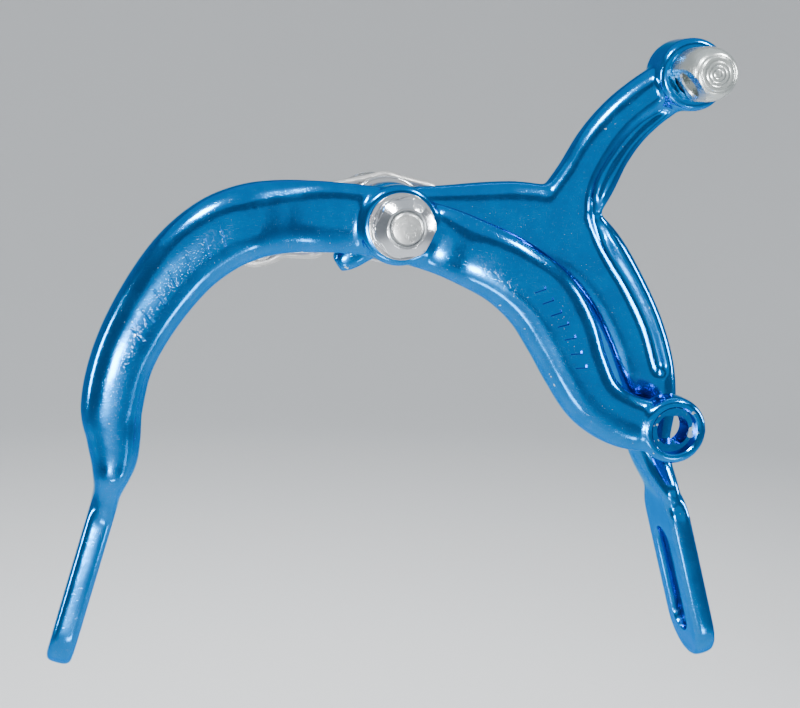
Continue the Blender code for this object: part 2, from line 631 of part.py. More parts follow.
stop_tab_rows = [
    (-0.3 * ARM_BOSS_RADIUS, -0.3 * ARM_BOSS_RADIUS, 3.4 * MM,
     REAR_BOSS_FRONT + 0.8 * MM, REAR_BOSS_BACK - 0.6 * MM, 3.0),
    (-1.02 * ARM_BOSS_RADIUS, -0.86 * ARM_BOSS_RADIUS, 2.7 * MM,
     REAR_BOSS_FRONT + 0.9 * MM, REAR_BOSS_BACK - 0.7 * MM, 3.0),
    (-1.36 * ARM_BOSS_RADIUS, -1.10 * ARM_BOSS_RADIUS, 1.7 * MM,
     REAR_BOSS_FRONT + 1.4 * MM, REAR_BOSS_BACK - 1.2 * MM, 3.0),
]

rear_arm = forged_bar("rear_arm", rear_leg_rows, BLUE_ANODISED)
stud_branch = forged_bar("stud_branch", stud_branch_rows)
stop_tab = forged_bar("stop_tab", stop_tab_rows)
rear_boss = boss("rear_boss", ARM_BOSS_RADIUS, REAR_BOSS_FRONT, REAR_BOSS_BACK)
stud_boss = boss("stud_boss", STUD_BOSS_RADIUS, STUD_BOSS_FRONT, STUD_BOSS_BACK)
stud_bore = bore("stud_bore", STUD_STEM_RADIUS + CLEARANCE, STUD_BOSS_FRONT, STUD_BOSS_BACK)
for part in (stud_boss, stud_bore):
    part.location = (STUD_BOSS_ACROSS, 0.0, STUD_BOSS_ABOVE)

rear_peg_bore = bore("rear_peg_bore", PEG_STEM_RADIUS + CLEARANCE,
                     WEB_BACK - PEG_SINK, WEB_BACK + 2 * MM, over=0.0)
rear_peg_bore.location = (PEG_ACROSS, 0.0, -PEG_BELOW)

join(rear_arm, stud_branch, rear_boss, stud_boss, stop_tab,
     shoe_plate("rear_plate", 1, REAR_HALF_SPAN, REAR_REACH, REAR_PLATE_THICKNESS))
cut(rear_arm, bore("rear_bore", BORE_RADIUS, REAR_BOSS_FRONT, REAR_BOSS_BACK),
    stud_bore, rear_peg_bore, shoe_slot("rear_slot", 1, REAR_HALF_SPAN, REAR_REACH))


# ------------------------------------------------------- cable stud and clip
# The stud swivels in its boss, held by a washer and a clip behind.

STUD_BASE = STUD_BOSS_FRONT - CLEARANCE
STUD_FRONT = STUD_BASE - STUD_LENGTH
STUD_WASHER_FRONT = STUD_BOSS_BACK + CLEARANCE
STUD_WASHER_BACK = STUD_WASHER_FRONT + STUD_WASHER_THICKNESS
STUD_CLIP_FRONT = STUD_WASHER_BACK + CLEARANCE
STUD_CLIP_BACK = STUD_CLIP_FRONT + STUD_CLIP_THICKNESS
STUD_GROOVE_FRONT = STUD_CLIP_FRONT - CLEARANCE
STUD_GROOVE_BACK = STUD_CLIP_BACK + CLEARANCE
STUD_STEM_BACK = STUD_GROOVE_BACK + 1.2 * MM
STUD_EDGE = 0.3 * MM
TAPER_STEPS = 6

stud_profile = [(0.0, -STUD_FRONT), (STUD_END_RADIUS - STUD_EDGE, -STUD_FRONT)]
for step in range(TAPER_STEPS + 1):
    turn = math.pi / 2 * step / TAPER_STEPS
    taper = STUD_LENGTH - STUD_SHOULDER - STUD_EDGE
    stud_profile.append((
        STUD_END_RADIUS + (STUD_RADIUS - STUD_END_RADIUS) * math.sin(turn),
        -STUD_FRONT - STUD_EDGE - taper * (1.0 - math.cos(turn))))
stud_profile += [
    (STUD_RADIUS, -STUD_BASE + STUD_EDGE),
    (STUD_RADIUS - STUD_EDGE, -STUD_BASE),
    (STUD_STEM_RADIUS, -STUD_BASE),
    (STUD_STEM_RADIUS, -STUD_GROOVE_FRONT),
    (STUD_GROOVE_RADIUS, -STUD_GROOVE_FRONT),
    (STUD_GROOVE_RADIUS, -STUD_GROOVE_BACK),
    (STUD_STEM_RADIUS, -STUD_GROOVE_BACK),
    (STUD_STEM_RADIUS, -STUD_STEM_BACK + STUD_EDGE),
    (STUD_STEM_RADIUS - STUD_EDGE, -STUD_STEM_BACK),
    (0.0, -STUD_STEM_BACK),
]
cable_stud = turned("cable_stud", stud_profile, BARE_STEEL)
stud_washer = washer("stud_washer", STUD_WASHER_RADIUS, STUD_STEM_RADIUS + CLEARANCE,
                     STUD_WASHER_FRONT, STUD_WASHER_BACK, BARE_STEEL)
stud_clip = washer("stud_clip", STUD_CLIP_RADIUS, STUD_GROOVE_RADIUS + CLEARANCE,
                   STUD_CLIP_FRONT, STUD_CLIP_BACK, SPRING_STEEL)

stud_flat = block("stud_flat", (STUD_FLAT_REACH, STUD_FRONT - MM, -2 * STUD_RADIUS),
                  (2 * STUD_RADIUS, STUD_BASE + CLEARANCE / 2, 2 * STUD_RADIUS))
stud_flat.rotation_euler.y = -STUD_TURN

bm = bmesh.new()
bmesh.ops.create_cone(bm, cap_ends=True, segments=BORE_STEPS, radius1=STUD_HOLE_RADIUS,
                      radius2=STUD_HOLE_RADIUS, depth=3 * STUD_RADIUS)
bmesh.ops.rotate(bm, verts=bm.verts, matrix=Matrix.Rotation(math.pi / 2, 3, "Y"))
stud_cross_hole = link("stud_cross_hole", mesh_from("stud_cross_hole", bm))
stud_cross_hole.rotation_euler.y = -STUD_TURN
stud_cross_hole.location.y = STUD_BASE - STUD_HOLE_AHEAD
cut(cable_stud, stud_flat, stud_cross_hole)

clip_mouth = block("clip_mouth",
                   (-STUD_CLIP_MOUTH / 2, STUD_CLIP_FRONT - MM, -2 * STUD_CLIP_RADIUS),
                   (STUD_CLIP_MOUTH / 2, STUD_CLIP_BACK + MM, 0.0))
cut(stud_clip, clip_mouth)


# ------------------------------------------------------ spring and its pegs
# One wire over the block. Each side has a helper loop and a leg that bears
# upwards on the underside of a peg behind its arm, and so opens the arms.

LOOP_PITCH = 2 * WIRE_RADIUS + 0.4 * MM
LOOP_STEPS = 14
FRONT_LEG_DEPTH = WIRE_DEPTH - FRONT_LEG_AHEAD
REAR_LEG_DEPTH = WIRE_DEPTH + LOOP_PITCH


def spring_side(side, leg_depth):
    """Wire middle from just beside the block's top to one tip."""
    across = LOOP_ACROSS
    slope = math.tan(WIRE_SLOPE)
    inner = across - LOOP_RADIUS
    under_peg = PEG_BELOW + PEG_RADIUS + CLEARANCE + WIRE_RADIUS
    run = [
        (0.25 * inner, WIRE_DEPTH, WIRE_TOP - 0.25 * inner * slope),
        (0.60 * inner, WIRE_DEPTH, WIRE_TOP - 0.60 * inner * slope),
        (0.86 * inner, WIRE_DEPTH, WIRE_TOP - 0.92 * inner * slope),
        (0.98 * inner, WIRE_DEPTH, 0.45 * WIRE_TOP),
        (1.00 * inner, WIRE_DEPTH, 0.0),
    ]
    run = smooth_rows(run, 2)
    turns = 1.25
    loop_end = WIRE_DEPTH + math.copysign(LOOP_PITCH, leg_depth - WIRE_DEPTH)
    steps = round(turns * LOOP_STEPS)
    for step in range(steps + 1):
        turn = turns * 2 * math.pi * step / steps
        run.append((
            across - LOOP_RADIUS * math.cos(turn),
            WIRE_DEPTH + (loop_end - WIRE_DEPTH) * step / steps,
            -LOOP_BELOW - LOOP_RADIUS * math.sin(turn)))
    leg = [
        (across + 0.12 * (PEG_ACROSS - across), loop_end, -LOOP_BELOW - LOOP_RADIUS),
        (across + 0.50 * (PEG_ACROSS - across), leg_depth, -LEG_BELOW),
        (PEG_ACROSS - PEG_RADIUS, leg_depth, -under_peg + 0.5 * MM),
        (PEG_ACROSS, leg_depth, -under_peg),
        (PEG_ACROSS + PEG_RADIUS, leg_depth, -under_peg + 0.4 * MM),
        (PEG_ACROSS + 2 * PEG_RADIUS, leg_depth, -under_peg + 1.6 * MM),
    ]
    run += smooth_rows(leg, 2)
    return [Vector((side * x, y, z)) for x, y, z in run]


def wire(name, points, radius, surface):
    """A round wire with closed ends along a list of points."""
    curve = bpy.data.curves.new(name, "CURVE")
    curve.dimensions = "3D"
    curve.bevel_depth = radius
    curve.bevel_resolution = 2
    curve.use_fill_caps = True
    spline = curve.splines.new("POLY")
    spline.points.add(len(points) - 1)
    for point, place in zip(spline.points, points):
        point.co = (*place, 1.0)
    curve.materials.append(surface)
    made = bpy.data.objects.new(name, curve)
    PARTS.objects.link(made)
    return made


left_side = spring_side(-1, FRONT_LEG_DEPTH)
right_side = spring_side(1, REAR_LEG_DEPTH)
top = Vector((0.0, WIRE_DEPTH, WIRE_TOP))
return_spring = wire("return_spring", left_side[::-1] + [top] + right_side,
                     WIRE_RADIUS, SPRING_STEEL)


def spring_peg(name, side, arm_back, leg_depth):
    """A shouldered pin: a stem in the arm's blind hole, and a body for the wire."""
    shoulder = arm_back + CLEARANCE
    end = leg_depth + WIRE_RADIUS + PEG_PAST_WIRE
    edge = 0.3 * MM
    peg = turned(name, [
        (0.0, -arm_back + PEG_SINK - CLEARANCE),
        (PEG_STEM_RADIUS, -arm_back + PEG_SINK - CLEARANCE),
        (PEG_STEM_RADIUS, -shoulder),
        (PEG_RADIUS, -shoulder),
        (PEG_RADIUS, -end + edge),
        (PEG_RADIUS - edge, -end),
        (0.0, -end),
    ], BARE_STEEL, steps=24)
    peg.location = (side * PEG_ACROSS, 0.0, -PEG_BELOW)
    return peg


front_spring_peg = spring_peg("front_spring_peg", -1, ARCH_BACK, FRONT_LEG_DEPTH)
rear_spring_peg = spring_peg("rear_spring_peg", 1, WEB_BACK, REAR_LEG_DEPTH)


# ------------------------------------------------------------ joint frames

def pivot(name, place, pieces, parent=None):
    """An empty on a joint's axis, with the pieces that move about it."""
    made = bpy.data.objects.new(name, None)
    made.location = place
    made.parent = parent
    PARTS.objects.link(made)
    for piece in pieces:
        piece.parent = made
    return made


pivot("front_arm_pivot", (0.0, 0.0, 0.0), (front_arm, front_spring_peg))
rear_arm_pivot = pivot("rear_arm_pivot", (0.0, 0.0, 0.0), (rear_arm, rear_spring_peg))
pivot("stud_pivot", (STUD_BOSS_ACROSS, 0.0, STUD_BOSS_ABOVE),
      (cable_stud, stud_washer, stud_clip), rear_arm_pivot)
for cutter in (stud_flat, stud_cross_hole, clip_mouth):
    cutter.location.x += STUD_BOSS_ACROSS
    cutter.location.z += STUD_BOSS_ABOVE

for piece in PARTS.objects:
    if piece.type == "MESH":
        shade(piece)
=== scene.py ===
import json
import math

import bmesh
import bpy
from mathutils import Matrix, Vector


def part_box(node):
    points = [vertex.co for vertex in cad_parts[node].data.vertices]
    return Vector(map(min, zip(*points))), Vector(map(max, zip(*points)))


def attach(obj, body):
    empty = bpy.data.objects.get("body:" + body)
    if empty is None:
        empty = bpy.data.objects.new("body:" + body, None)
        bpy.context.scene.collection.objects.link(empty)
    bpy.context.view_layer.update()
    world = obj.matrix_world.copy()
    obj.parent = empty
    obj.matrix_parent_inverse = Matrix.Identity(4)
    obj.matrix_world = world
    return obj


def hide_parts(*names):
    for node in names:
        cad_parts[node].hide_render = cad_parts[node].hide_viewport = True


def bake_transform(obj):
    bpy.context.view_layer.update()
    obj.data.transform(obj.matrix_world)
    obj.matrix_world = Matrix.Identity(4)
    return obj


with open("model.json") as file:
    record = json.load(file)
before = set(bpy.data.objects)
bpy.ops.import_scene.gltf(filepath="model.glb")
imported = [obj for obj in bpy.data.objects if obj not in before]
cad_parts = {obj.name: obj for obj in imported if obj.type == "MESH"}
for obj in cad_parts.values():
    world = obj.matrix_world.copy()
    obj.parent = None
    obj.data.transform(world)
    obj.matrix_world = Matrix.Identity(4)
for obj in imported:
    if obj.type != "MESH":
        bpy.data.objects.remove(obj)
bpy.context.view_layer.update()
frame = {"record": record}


# The stage: a plain pale floor that curves up into a wall all round, below
# the brake, which hangs in the air as if on its fork. A low window in front
# puts the long streaks on the arms, and wide soft lights fill the rest.

MM = 0.001
FLOOR_BELOW = 110 * MM
FLAT_RADIUS, CURVE_RADIUS, WALL_TOP = 0.75, 0.5, 1.1

FLOOR = min(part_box("front_arm")[0].z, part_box("rear_arm")[0].z) - FLOOR_BELOW
bm = bmesh.new()
profile = [(0.0, 0.0), (FLAT_RADIUS, 0.0)]
profile += [(FLAT_RADIUS + CURVE_RADIUS * math.sin(t), CURVE_RADIUS * (1 - math.cos(t)))
            for t in (math.pi / 2 * step / 12 for step in range(1, 13))]
profile += [(FLAT_RADIUS + CURVE_RADIUS, WALL_TOP)]
points = [bm.verts.new((radius, 0.0, FLOOR + height)) for radius, height in profile]
edges = [bm.edges.new(pair) for pair in zip(points, points[1:])]
bmesh.ops.spin(bm, geom=points + edges, axis=(0.0, 0.0, 1.0), angle=2 * math.pi, steps=96,
               use_merge=True)
bmesh.ops.remove_doubles(bm, verts=bm.verts, dist=1e-5)
bmesh.ops.recalc_face_normals(bm, faces=bm.faces)
floor = bpy.data.objects.new("floor", bpy.data.meshes.new("floor"))
bm.to_mesh(floor.data)
bm.free()
floor.data.shade_smooth()
bpy.context.scene.collection.objects.link(floor)
floor_paint = bpy.data.materials.new("floor_paint")
floor_paint.use_nodes = True
matt = floor_paint.node_tree.nodes["Principled BSDF"]
matt.inputs["Base Color"].default_value = (0.46, 0.47, 0.48, 1.0)
matt.inputs["Roughness"].default_value = 0.9
floor.data.materials.append(floor_paint)

world = bpy.data.worlds.new("soft_room")
world.use_nodes = True
room = world.node_tree.nodes["Background"]
room.inputs["Color"].default_value = (0.88, 0.94, 1.0, 1.0)
room.inputs["Strength"].default_value = 0.95
bpy.context.scene.world = world

AIM = Vector((0.0, -10 * MM, -15 * MM))


def bearing(turn, rise):
    """The way to a point at a turn round the brake from its front, and a rise."""
    return Vector((math.sin(turn) * math.cos(rise), -math.cos(turn) * math.cos(rise),
                   math.sin(rise)))


def lamp(name, place, behind, size, watts, spread=180):
    """A rectangular light at a place; behind points away from what it lights."""
    light = bpy.data.lights.new(name, "AREA")
    light.shape = "RECTANGLE"
    light.size, light.size_y = size
    light.energy = watts
    light.spread = math.radians(spread)
    hung = bpy.data.objects.new(name, light)
    hung.location = place
    hung.rotation_euler = behind.to_track_quat("Z", "Y").to_euler()
    bpy.context.scene.collection.objects.link(hung)


def softbox(name, turn, rise, away, size, watts, spread=180):
    """A light aimed at the brake, at a turn and a rise in degrees."""
    place = AIM + away * bearing(math.radians(turn), math.radians(rise))
    lamp(name, place, place - AIM, size, watts, spread)


softbox("front_fill", 8, -4, 0.80, (1.00, 0.70), 1.3)
softbox("front_window", -15, -10, 0.62, (0.10, 0.09), 3.4)
softbox("low_left_light", -15, -40, 0.24, (0.06, 0.02), 0.07)
softbox("low_right_light", 35, -36, 0.25, (0.04, 0.02), 0.05)
softbox("top_left_light", -50, 50, 0.60, (0.14, 0.10), 1.4, spread=80)
softbox("top_right_light", 52, 45, 0.62, (0.10, 0.10), 0.8, spread=80)
softbox("left_light", -88, 5, 0.55, (0.06, 0.24), 0.9, spread=90)
softbox("right_light", 86, 10, 0.55, (0.06, 0.24), 0.9, spread=90)

lamp("backdrop_wash", (-0.02, 0.16, 0.30), Vector((0.0, -1.0, 0.62)), (0.60, 0.20), 6.0)


# The camera: close in front of the pivot, a little to the left and above, and
# leaning slightly, so that the nearer parts look larger than the far ones.

TURN, RISE, ROLL = math.radians(-10.5), math.radians(9.0), math.radians(1.8)
AWAY, AIM_LEFT, AIM_BELOW = 285 * MM, 0.3 * MM, 22.7 * MM

pivot_face = Vector((0.0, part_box("front_washer")[1].y - 0.4 * MM, 0.0))
back = bearing(TURN, RISE)
level = Vector((math.cos(TURN), math.sin(TURN), 0.0))
upward = back.cross(level)
across = level * math.cos(ROLL) + upward * math.sin(ROLL)
upward = upward * math.cos(ROLL) - level * math.sin(ROLL)
lens = bpy.data.cameras.new("view")
lens.lens, lens.sensor_width = 72.0, 36.0
lens.clip_start = 0.01
camera = bpy.data.objects.new("view", lens)
camera.matrix_world = Matrix((across, upward, back)).transposed().to_4x4()
camera.location = pivot_face + back * AWAY - across * AIM_LEFT - upward * AIM_BELOW
bpy.context.scene.collection.objects.link(camera)
bpy.context.scene.camera = camera


# Pivot bolt: one long M6 steel bolt, zinc plated, that carries both arms in
# front of the fork and the nut behind it. It is turned, with rolled threads at
# both ends and a slightly domed front end.

class Value:
    """A socket of a finish, so that maths on it can be written out."""

    def __init__(self, finish, socket):
        self.finish, self.socket = finish, socket

    def __add__(self, other):
        return self.finish.node("Math", {"operation": "ADD"}, self, other)

    def __sub__(self, other):
        return self.finish.node("Math", {"operation": "SUBTRACT"}, self, other)

    def __rsub__(self, other):
        return self.finish.node("Math", {"operation": "SUBTRACT"}, other, self)

    def __mul__(self, other):
        return self.finish.node("Math", {"operation": "MULTIPLY"}, self, other)

    __radd__ = __add__
    __rmul__ = __mul__


class Finish:
    """A material, with one method for every kind of node."""

    def __init__(self, name, colour, roughness, metallic):
        self.material = bpy.data.materials.new(name)
        self.material.use_nodes = True
        self.tree = self.material.node_tree
        self.surface = self.tree.nodes["Principled BSDF"]
        self.set("Base Color", (*colour, 1.0))
        self.set("Roughness", roughness)
        self.set("Metallic", metallic)
        self.place = self.node("TexCoord", output="Object")

    def feed(self, socket, value):
        if isinstance(value, Value):
            self.tree.links.new(value.socket, socket)
        else:
            socket.default_value = value

    def set(self, name, value):
        self.feed(self.surface.inputs[name], value)

    def node(self, kind, settings=None, *values, output=0, **named):
        made = self.tree.nodes.new("ShaderNode" + kind)
        for setting, value in (settings or {}).items():
            setattr(made, setting, value)
        for socket, value in zip(made.inputs, values):
            self.feed(socket, value)
        for socket, value in named.items():
            self.feed(made.inputs[socket], value)
        return Value(self, made.outputs[output])

    def noise(self, scale, detail=2.0, stretch=(1.0, 1.0, 1.0), turn=(0.0, 0.0, 0.0)):
        place = self.node("Mapping", None, self.place, Scale=stretch, Rotation=turn)
        return self.node("TexNoise", None, Vector=place, Scale=scale, Detail=detail,
                         Roughness=0.55)

    def step(self, value, low, high):
        """Smoothly from 0 where the value is low to 1 where it is high."""
        return self.node("MapRange", {"interpolation_type": "SMOOTHSTEP"}, value, low, high)

    def mix(self, share, first, second):
        made = self.tree.nodes.new("ShaderNodeMix")
        made.data_type = "RGBA"
        for index, value in ((0, share), (6, first), (7, second)):
            self.feed(made.inputs[index], value)
        return Value(self, made.outputs[2])

    def bump(self, height, distance, strength=1.0):
        return self.node("Bump", None, Height=height, Distance=distance, Strength=strength)


def metal(name, colour, roughness, mark, tint=0.82):
    """A plain metal: fine scratches in two directions, dull patches and grime."""
    finish = Finish(name, colour, roughness, 1.0)
    scratches = (finish.step(finish.noise(900, 3, (1, 1, 14), (0.3, 0.2, 0)), 0.60, 0.68)
                 + finish.step(finish.noise(800, 3, (12, 1, 1), (0, 0.5, 0.7)), 0.61, 0.69))
    patches = finish.step(finish.noise(260, 4), 0.42, 0.68)
    dull = tuple(tint * channel for channel in colour)
    finish.set("Base Color", finish.mix(patches, (*colour, 1.0), (*dull, 1.0)))
    finish.set("Roughness", roughness + patches * 0.10 + scratches * 0.12)
    finish.set("Normal", finish.bump(scratches * 0.5 + patches * 0.4, mark * MM))
    return finish


STEEL = metal("zinc_plated_steel", (0.58, 0.60, 0.60), 0.26, 0.012)


def new_body():
    """An empty bmesh that remembers each point's number in its ring."""
    bm = bmesh.new()
    bm.verts.layers.int.new("number")
    return bm


def soften(profile, radius, steps=3):
    """A profile with its inner corners rounded, each within its own two runs."""
    made = [profile[0]]
    for before, corner, after in zip(profile, profile[1:], profile[2:]):
        before, corner, after = Vector(before), Vector(corner), Vector(after)
        into, out = corner - before, after - corner
        reach = min(radius, 0.4 * into.length, 0.4 * out.length)
        start, end = corner - into.normalized() * reach, corner + out.normalized() * reach
        for step in range(steps + 1):
            t = step / steps
            made.append(tuple((start * (1 - t) + corner * t) * (1 - t)
                              + (corner * (1 - t) + end * t) * t))
    return made + [profile[-1]]


def spin(bm, profile, at=(0.0, 0.0), steps=96, ring=False):
    """Turns a profile of (radius, depth) about a line along Y through (x, z)."""
    points = [bm.verts.new((at[0] + radius, depth, at[1])) for radius, depth in profile]
    pairs = list(zip(points, points[1:]))
    if ring:
        pairs.append((points[-1], points[0]))
    edges = [bm.edges.new(pair) for pair in pairs]
    bmesh.ops.spin(bm, geom=points + edges, cent=(at[0], 0.0, at[1]),
                   axis=(0.0, 1.0, 0.0), angle=2 * math.pi, steps=steps, use_merge=True)
    bmesh.ops.remove_doubles(bm, verts=bm.verts, dist=1e-6)


def piece(name, bm, finish, body, *nodes, slot=None, angle=35.0):
    """A finished piece that rides on a body and stands for CAD nodes."""
    bmesh.ops.recalc_face_normals(bm, faces=bm.faces)
    made = bpy.data.objects.new(name, bpy.data.meshes.new(name))
    bm.to_mesh(made.data)
    bm.free()
    bpy.context.scene.collection.objects.link(made)
    made.data.materials.append(finish.material)
    made.data.shade_smooth()
    made.data.set_sharp_from_angle(angle=math.radians(angle))
    if body:
        settle(made, body, nodes)
    return made


def settle(made, body, nodes):
    """Puts a piece on its body, in the place of its nodes."""
    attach(made, body)
    if nodes:
        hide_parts(*nodes)


def radius_of(node):
    """Half the width of a round node."""
    low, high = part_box(node)
    return (high.x - low.x) / 2


BOLT_RADIUS = radius_of("pivot_bolt")
BOLT_FRONT, BOLT_BACK = (corner.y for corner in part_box("pivot_bolt"))
PITCH = 1.0 * MM
THREAD_DEPTH = 0.45 * MM
FRONT_THREAD_START, FRONT_THREAD_END = BOLT_FRONT + 1.0 * MM, BOLT_FRONT + 7.0 * MM
REAR_THREAD_START, REAR_THREAD_END = 9.0 * MM, BOLT_BACK - 0.6 * MM


def thread(start, end, radius):
    """The outline of a thread between two depths, one crest to each pitch."""
    root = radius - THREAD_DEPTH
    points = []
    for turn in range(int((end - start) / PITCH)):
        depth = start + turn * PITCH
        points += [(radius, depth + 0.10 * PITCH), (root, depth + 0.42 * PITCH),
                   (root, depth + 0.58 * PITCH), (radius, depth + 0.90 * PITCH)]
    return points


front_end = [(0.0, BOLT_FRONT), (1.2 * MM, BOLT_FRONT + 0.03 * MM)]
front_end += soften([(1.4 * MM, BOLT_FRONT + 0.04 * MM),
                     (BOLT_RADIUS - 0.45 * MM, BOLT_FRONT + 0.12 * MM),
                     (BOLT_RADIUS, BOLT_FRONT + 0.6 * MM),
                     (BOLT_RADIUS, BOLT_FRONT + 0.9 * MM)], 0.15 * MM)
plain_shank = [(BOLT_RADIUS, FRONT_THREAD_END + 0.5 * MM), (BOLT_RADIUS, REAR_THREAD_START)]
rear_end = [(BOLT_RADIUS - 0.5 * MM, BOLT_BACK - 0.05 * MM),
            (BOLT_RADIUS - 0.7 * MM, BOLT_BACK), (0.0, BOLT_BACK)]
bm = new_body()
spin(bm, front_end + thread(FRONT_THREAD_START, FRONT_THREAD_END, BOLT_RADIUS) + plain_shank
     + thread(REAR_THREAD_START, REAR_THREAD_END, BOLT_RADIUS) + rear_end, steps=64)
piece("pivot_bolt_turned", bm, STEEL, "pivot", "pivot_bolt", slot="bare_steel")


# Washers: stamped rings along the bolt. The seat washer and the plain one
# behind the fork are zinc plated steel, those on each side of the rear arm are
# brass, and the one under the front nuts is chromed, with a stepped face.

CHROME = metal("polished_chrome", (0.58, 0.60, 0.63), 0.08, 0.004, 0.93)
BRASS = metal("brass_sheet", (0.76, 0.55, 0.22), 0.26, 0.010)
HOLE = BOLT_RADIUS + 0.3 * MM


def stamped(node, hole, edge=0.25 * MM):
    """A flat ring in a node's place, with its four corners rounded."""
    low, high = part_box(node)
    radius = radius_of(node)
    middle = ((low.x + high.x) / 2, (low.z + high.z) / 2)
    corners = [(hole, low.y), (radius, low.y), (radius, high.y), (hole, high.y)]
    bm = new_body()
    rounded = soften([corners[-1], *corners, corners[0]], edge)[1:-1]
    spin(bm, rounded, at=middle, ring=True)
    return bm


for node, finish, slot in (("seat_washer", STEEL, "bare_steel"),
                           ("plain_washer", STEEL, "bare_steel"),
                           ("rear_washer", BRASS, "brass"),
                           ("middle_washer", BRASS, "brass")):
    piece(node + "_stamped", stamped(node, HOLE), finish, "pivot", node, slot=slot)

low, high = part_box("front_washer")
RIM = radius_of("front_washer")
STEP_RADIUS, STEP_DEPTH = RIM - 0.75 * MM, low.y + 0.22 * MM
bm = new_body()
stepped = [(HOLE, high.y), (HOLE, low.y), (STEP_RADIUS, low.y), (STEP_RADIUS, STEP_DEPTH),
           (RIM, STEP_DEPTH), (RIM, high.y), (HOLE, high.y), (HOLE, low.y)]
spin(bm, soften(stepped, 0.12 * MM)[1:-1], ring=True, steps=128)
piece("front_washer_stepped", bm, CHROME, "pivot", "front_washer", slot="chrome")


# Fork washers: two zinc plated steel rings behind the fork. The radius washer
# has its front face milled hollow to fit round a fork's tube, and the spring
# washer is sawn through at a slant, so that it stops the nut from turning.

def machine(target, cutter, operation="DIFFERENCE"):
    """Takes a bmesh away from a piece, or keeps what they share."""
    bmesh.ops.recalc_face_normals(cutter, faces=cutter.faces)
    tool = bpy.data.objects.new("tool", bpy.data.meshes.new("tool"))
    cutter.to_mesh(tool.data)
    cutter.free()
    bpy.context.scene.collection.objects.link(tool)
    step = target.modifiers.new("machine", "BOOLEAN")
    step.operation = operation
    step.solver = "EXACT"
    step.object = tool
    settle_mesh(target)
    bpy.data.objects.remove(tool)


def settle_mesh(target, angle=35.0):
    """Applies a piece's modifiers and shades it again."""
    surface = target.data.materials[0]
    depsgraph = bpy.context.evaluated_depsgraph_get()
    mesh = bpy.data.meshes.new_from_object(target.evaluated_get(depsgraph))
    target.modifiers.clear()
    target.data = mesh
    mesh.materials.clear()
    mesh.materials.append(surface)
    mesh.shade_smooth()
    mesh.set_sharp_from_angle(angle=math.radians(angle))


def brick(bm, low, high, turn=None):
    """A box between two corners, turned about the origin and added to a bmesh."""
    low, high = Vector(low), Vector(high)
    made = bmesh.ops.create_cube(bm, size=1.0)["verts"]
    bmesh.ops.scale(bm, vec=high - low, verts=made)
    bmesh.ops.translate(bm, vec=(high + low) / 2, verts=made)
    if turn:
        bmesh.ops.transform(bm, matrix=turn, verts=made)


TUBE_RADIUS, HOLLOW = 14 * MM, 0.9 * MM
SAW_CUT, SAW_SLANT = 0.7 * MM, math.radians(24)

radius_washer = piece("radius_washer_hollowed", stamped("radius_washer", HOLE), STEEL, None)
low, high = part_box("radius_washer")
cutter = new_body()
bmesh.ops.create_cone(cutter, cap_ends=True, segments=160, radius1=TUBE_RADIUS,
                      radius2=TUBE_RADIUS, depth=40 * MM)
bmesh.ops.translate(cutter, verts=cutter.verts, vec=(0.0, low.y + HOLLOW - TUBE_RADIUS, 0.0))
machine(radius_washer, cutter)
settle(radius_washer, "pivot", ("radius_washer",))

split_washer = piece("lock_washer_split", stamped("lock_washer", HOLE, 0.1 * MM), STEEL, None)
low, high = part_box("lock_washer")
cutter = new_body()
brick(cutter, (-SAW_CUT / 2, -3 * MM, 0.5 * MM), (SAW_CUT / 2, 3 * MM, 9 * MM),
      Matrix.Translation((0.0, (low.y + high.y) / 2, 0.0)) @ Matrix.Rotation(SAW_SLANT, 4, "Z"))
machine(split_washer, cutter)
settle(split_washer, "pivot", ("lock_washer",))


# Nuts: cold formed steel hexagons with turned crowns. Two chromed ones lock
# against each other in front, the outer one turned to a long cone, and a zinc
# plated one behind the fork holds the brake on.

ACROSS_FLATS = 10 * MM


def hexagon_nut(name, node, finish, face, cone, turn):
    """A hexagon kept only where a turned crown also is, then drilled."""
    low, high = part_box(node)
    corner = ACROSS_FLATS / math.sqrt(3)
    bm = new_body()
    bmesh.ops.create_cone(bm, cap_ends=True, segments=6, radius1=corner, radius2=corner,
                          depth=high.y - low.y)
    bmesh.ops.rotate(bm, verts=bm.verts, matrix=Matrix.Rotation(math.pi / 2, 3, "X"))
    bmesh.ops.rotate(bm, verts=bm.verts, matrix=Matrix.Rotation(turn, 3, "Y"))
    bmesh.ops.translate(bm, verts=bm.verts, vec=(0.0, (low.y + high.y) / 2, 0.0))
    upright = [e for e in bm.edges if abs(e.verts[0].co.y - e.verts[1].co.y) > MM]
    bmesh.ops.bevel(bm, geom=upright, offset=0.25 * MM, segments=3, profile=0.5,
                    affect="EDGES", material=-1)
    nut = piece(name, bm, finish, None, angle=25)
    rim = 0.955 * corner
    crown = new_body()
    profile = [(0.0, low.y), (face, low.y), (rim, low.y + cone), (rim, high.y - 0.35 * MM),
               (rim - 0.5 * MM, high.y), (0.0, high.y)]
    spin(crown, soften(profile, 0.12 * MM), steps=128)
    machine(nut, crown, "INTERSECT")
    bore = new_body()
    hole, flare = BOLT_RADIUS + 0.06 * MM, 0.35 * MM
    spin(bore, [(0.0, low.y - flare), (hole + 2 * flare, low.y - flare), (hole, low.y + flare),
                (hole, high.y - flare), (hole + 2 * flare, high.y + flare),
                (0.0, high.y + flare)])
    machine(nut, bore)
    settle(nut, "pivot", (node,))


hexagon_nut("adjusting_nut_turned", "adjusting_nut", CHROME, 4.7 * MM, 0.4 * MM,
            math.radians(12))
hexagon_nut("lock_nut_coned", "lock_nut", CHROME, 3.6 * MM, 1.5 * MM,
            math.radians(25))
hexagon_nut("mounting_nut_plain", "mounting_nut", STEEL, 4.7 * MM, 0.4 * MM, 0.0)


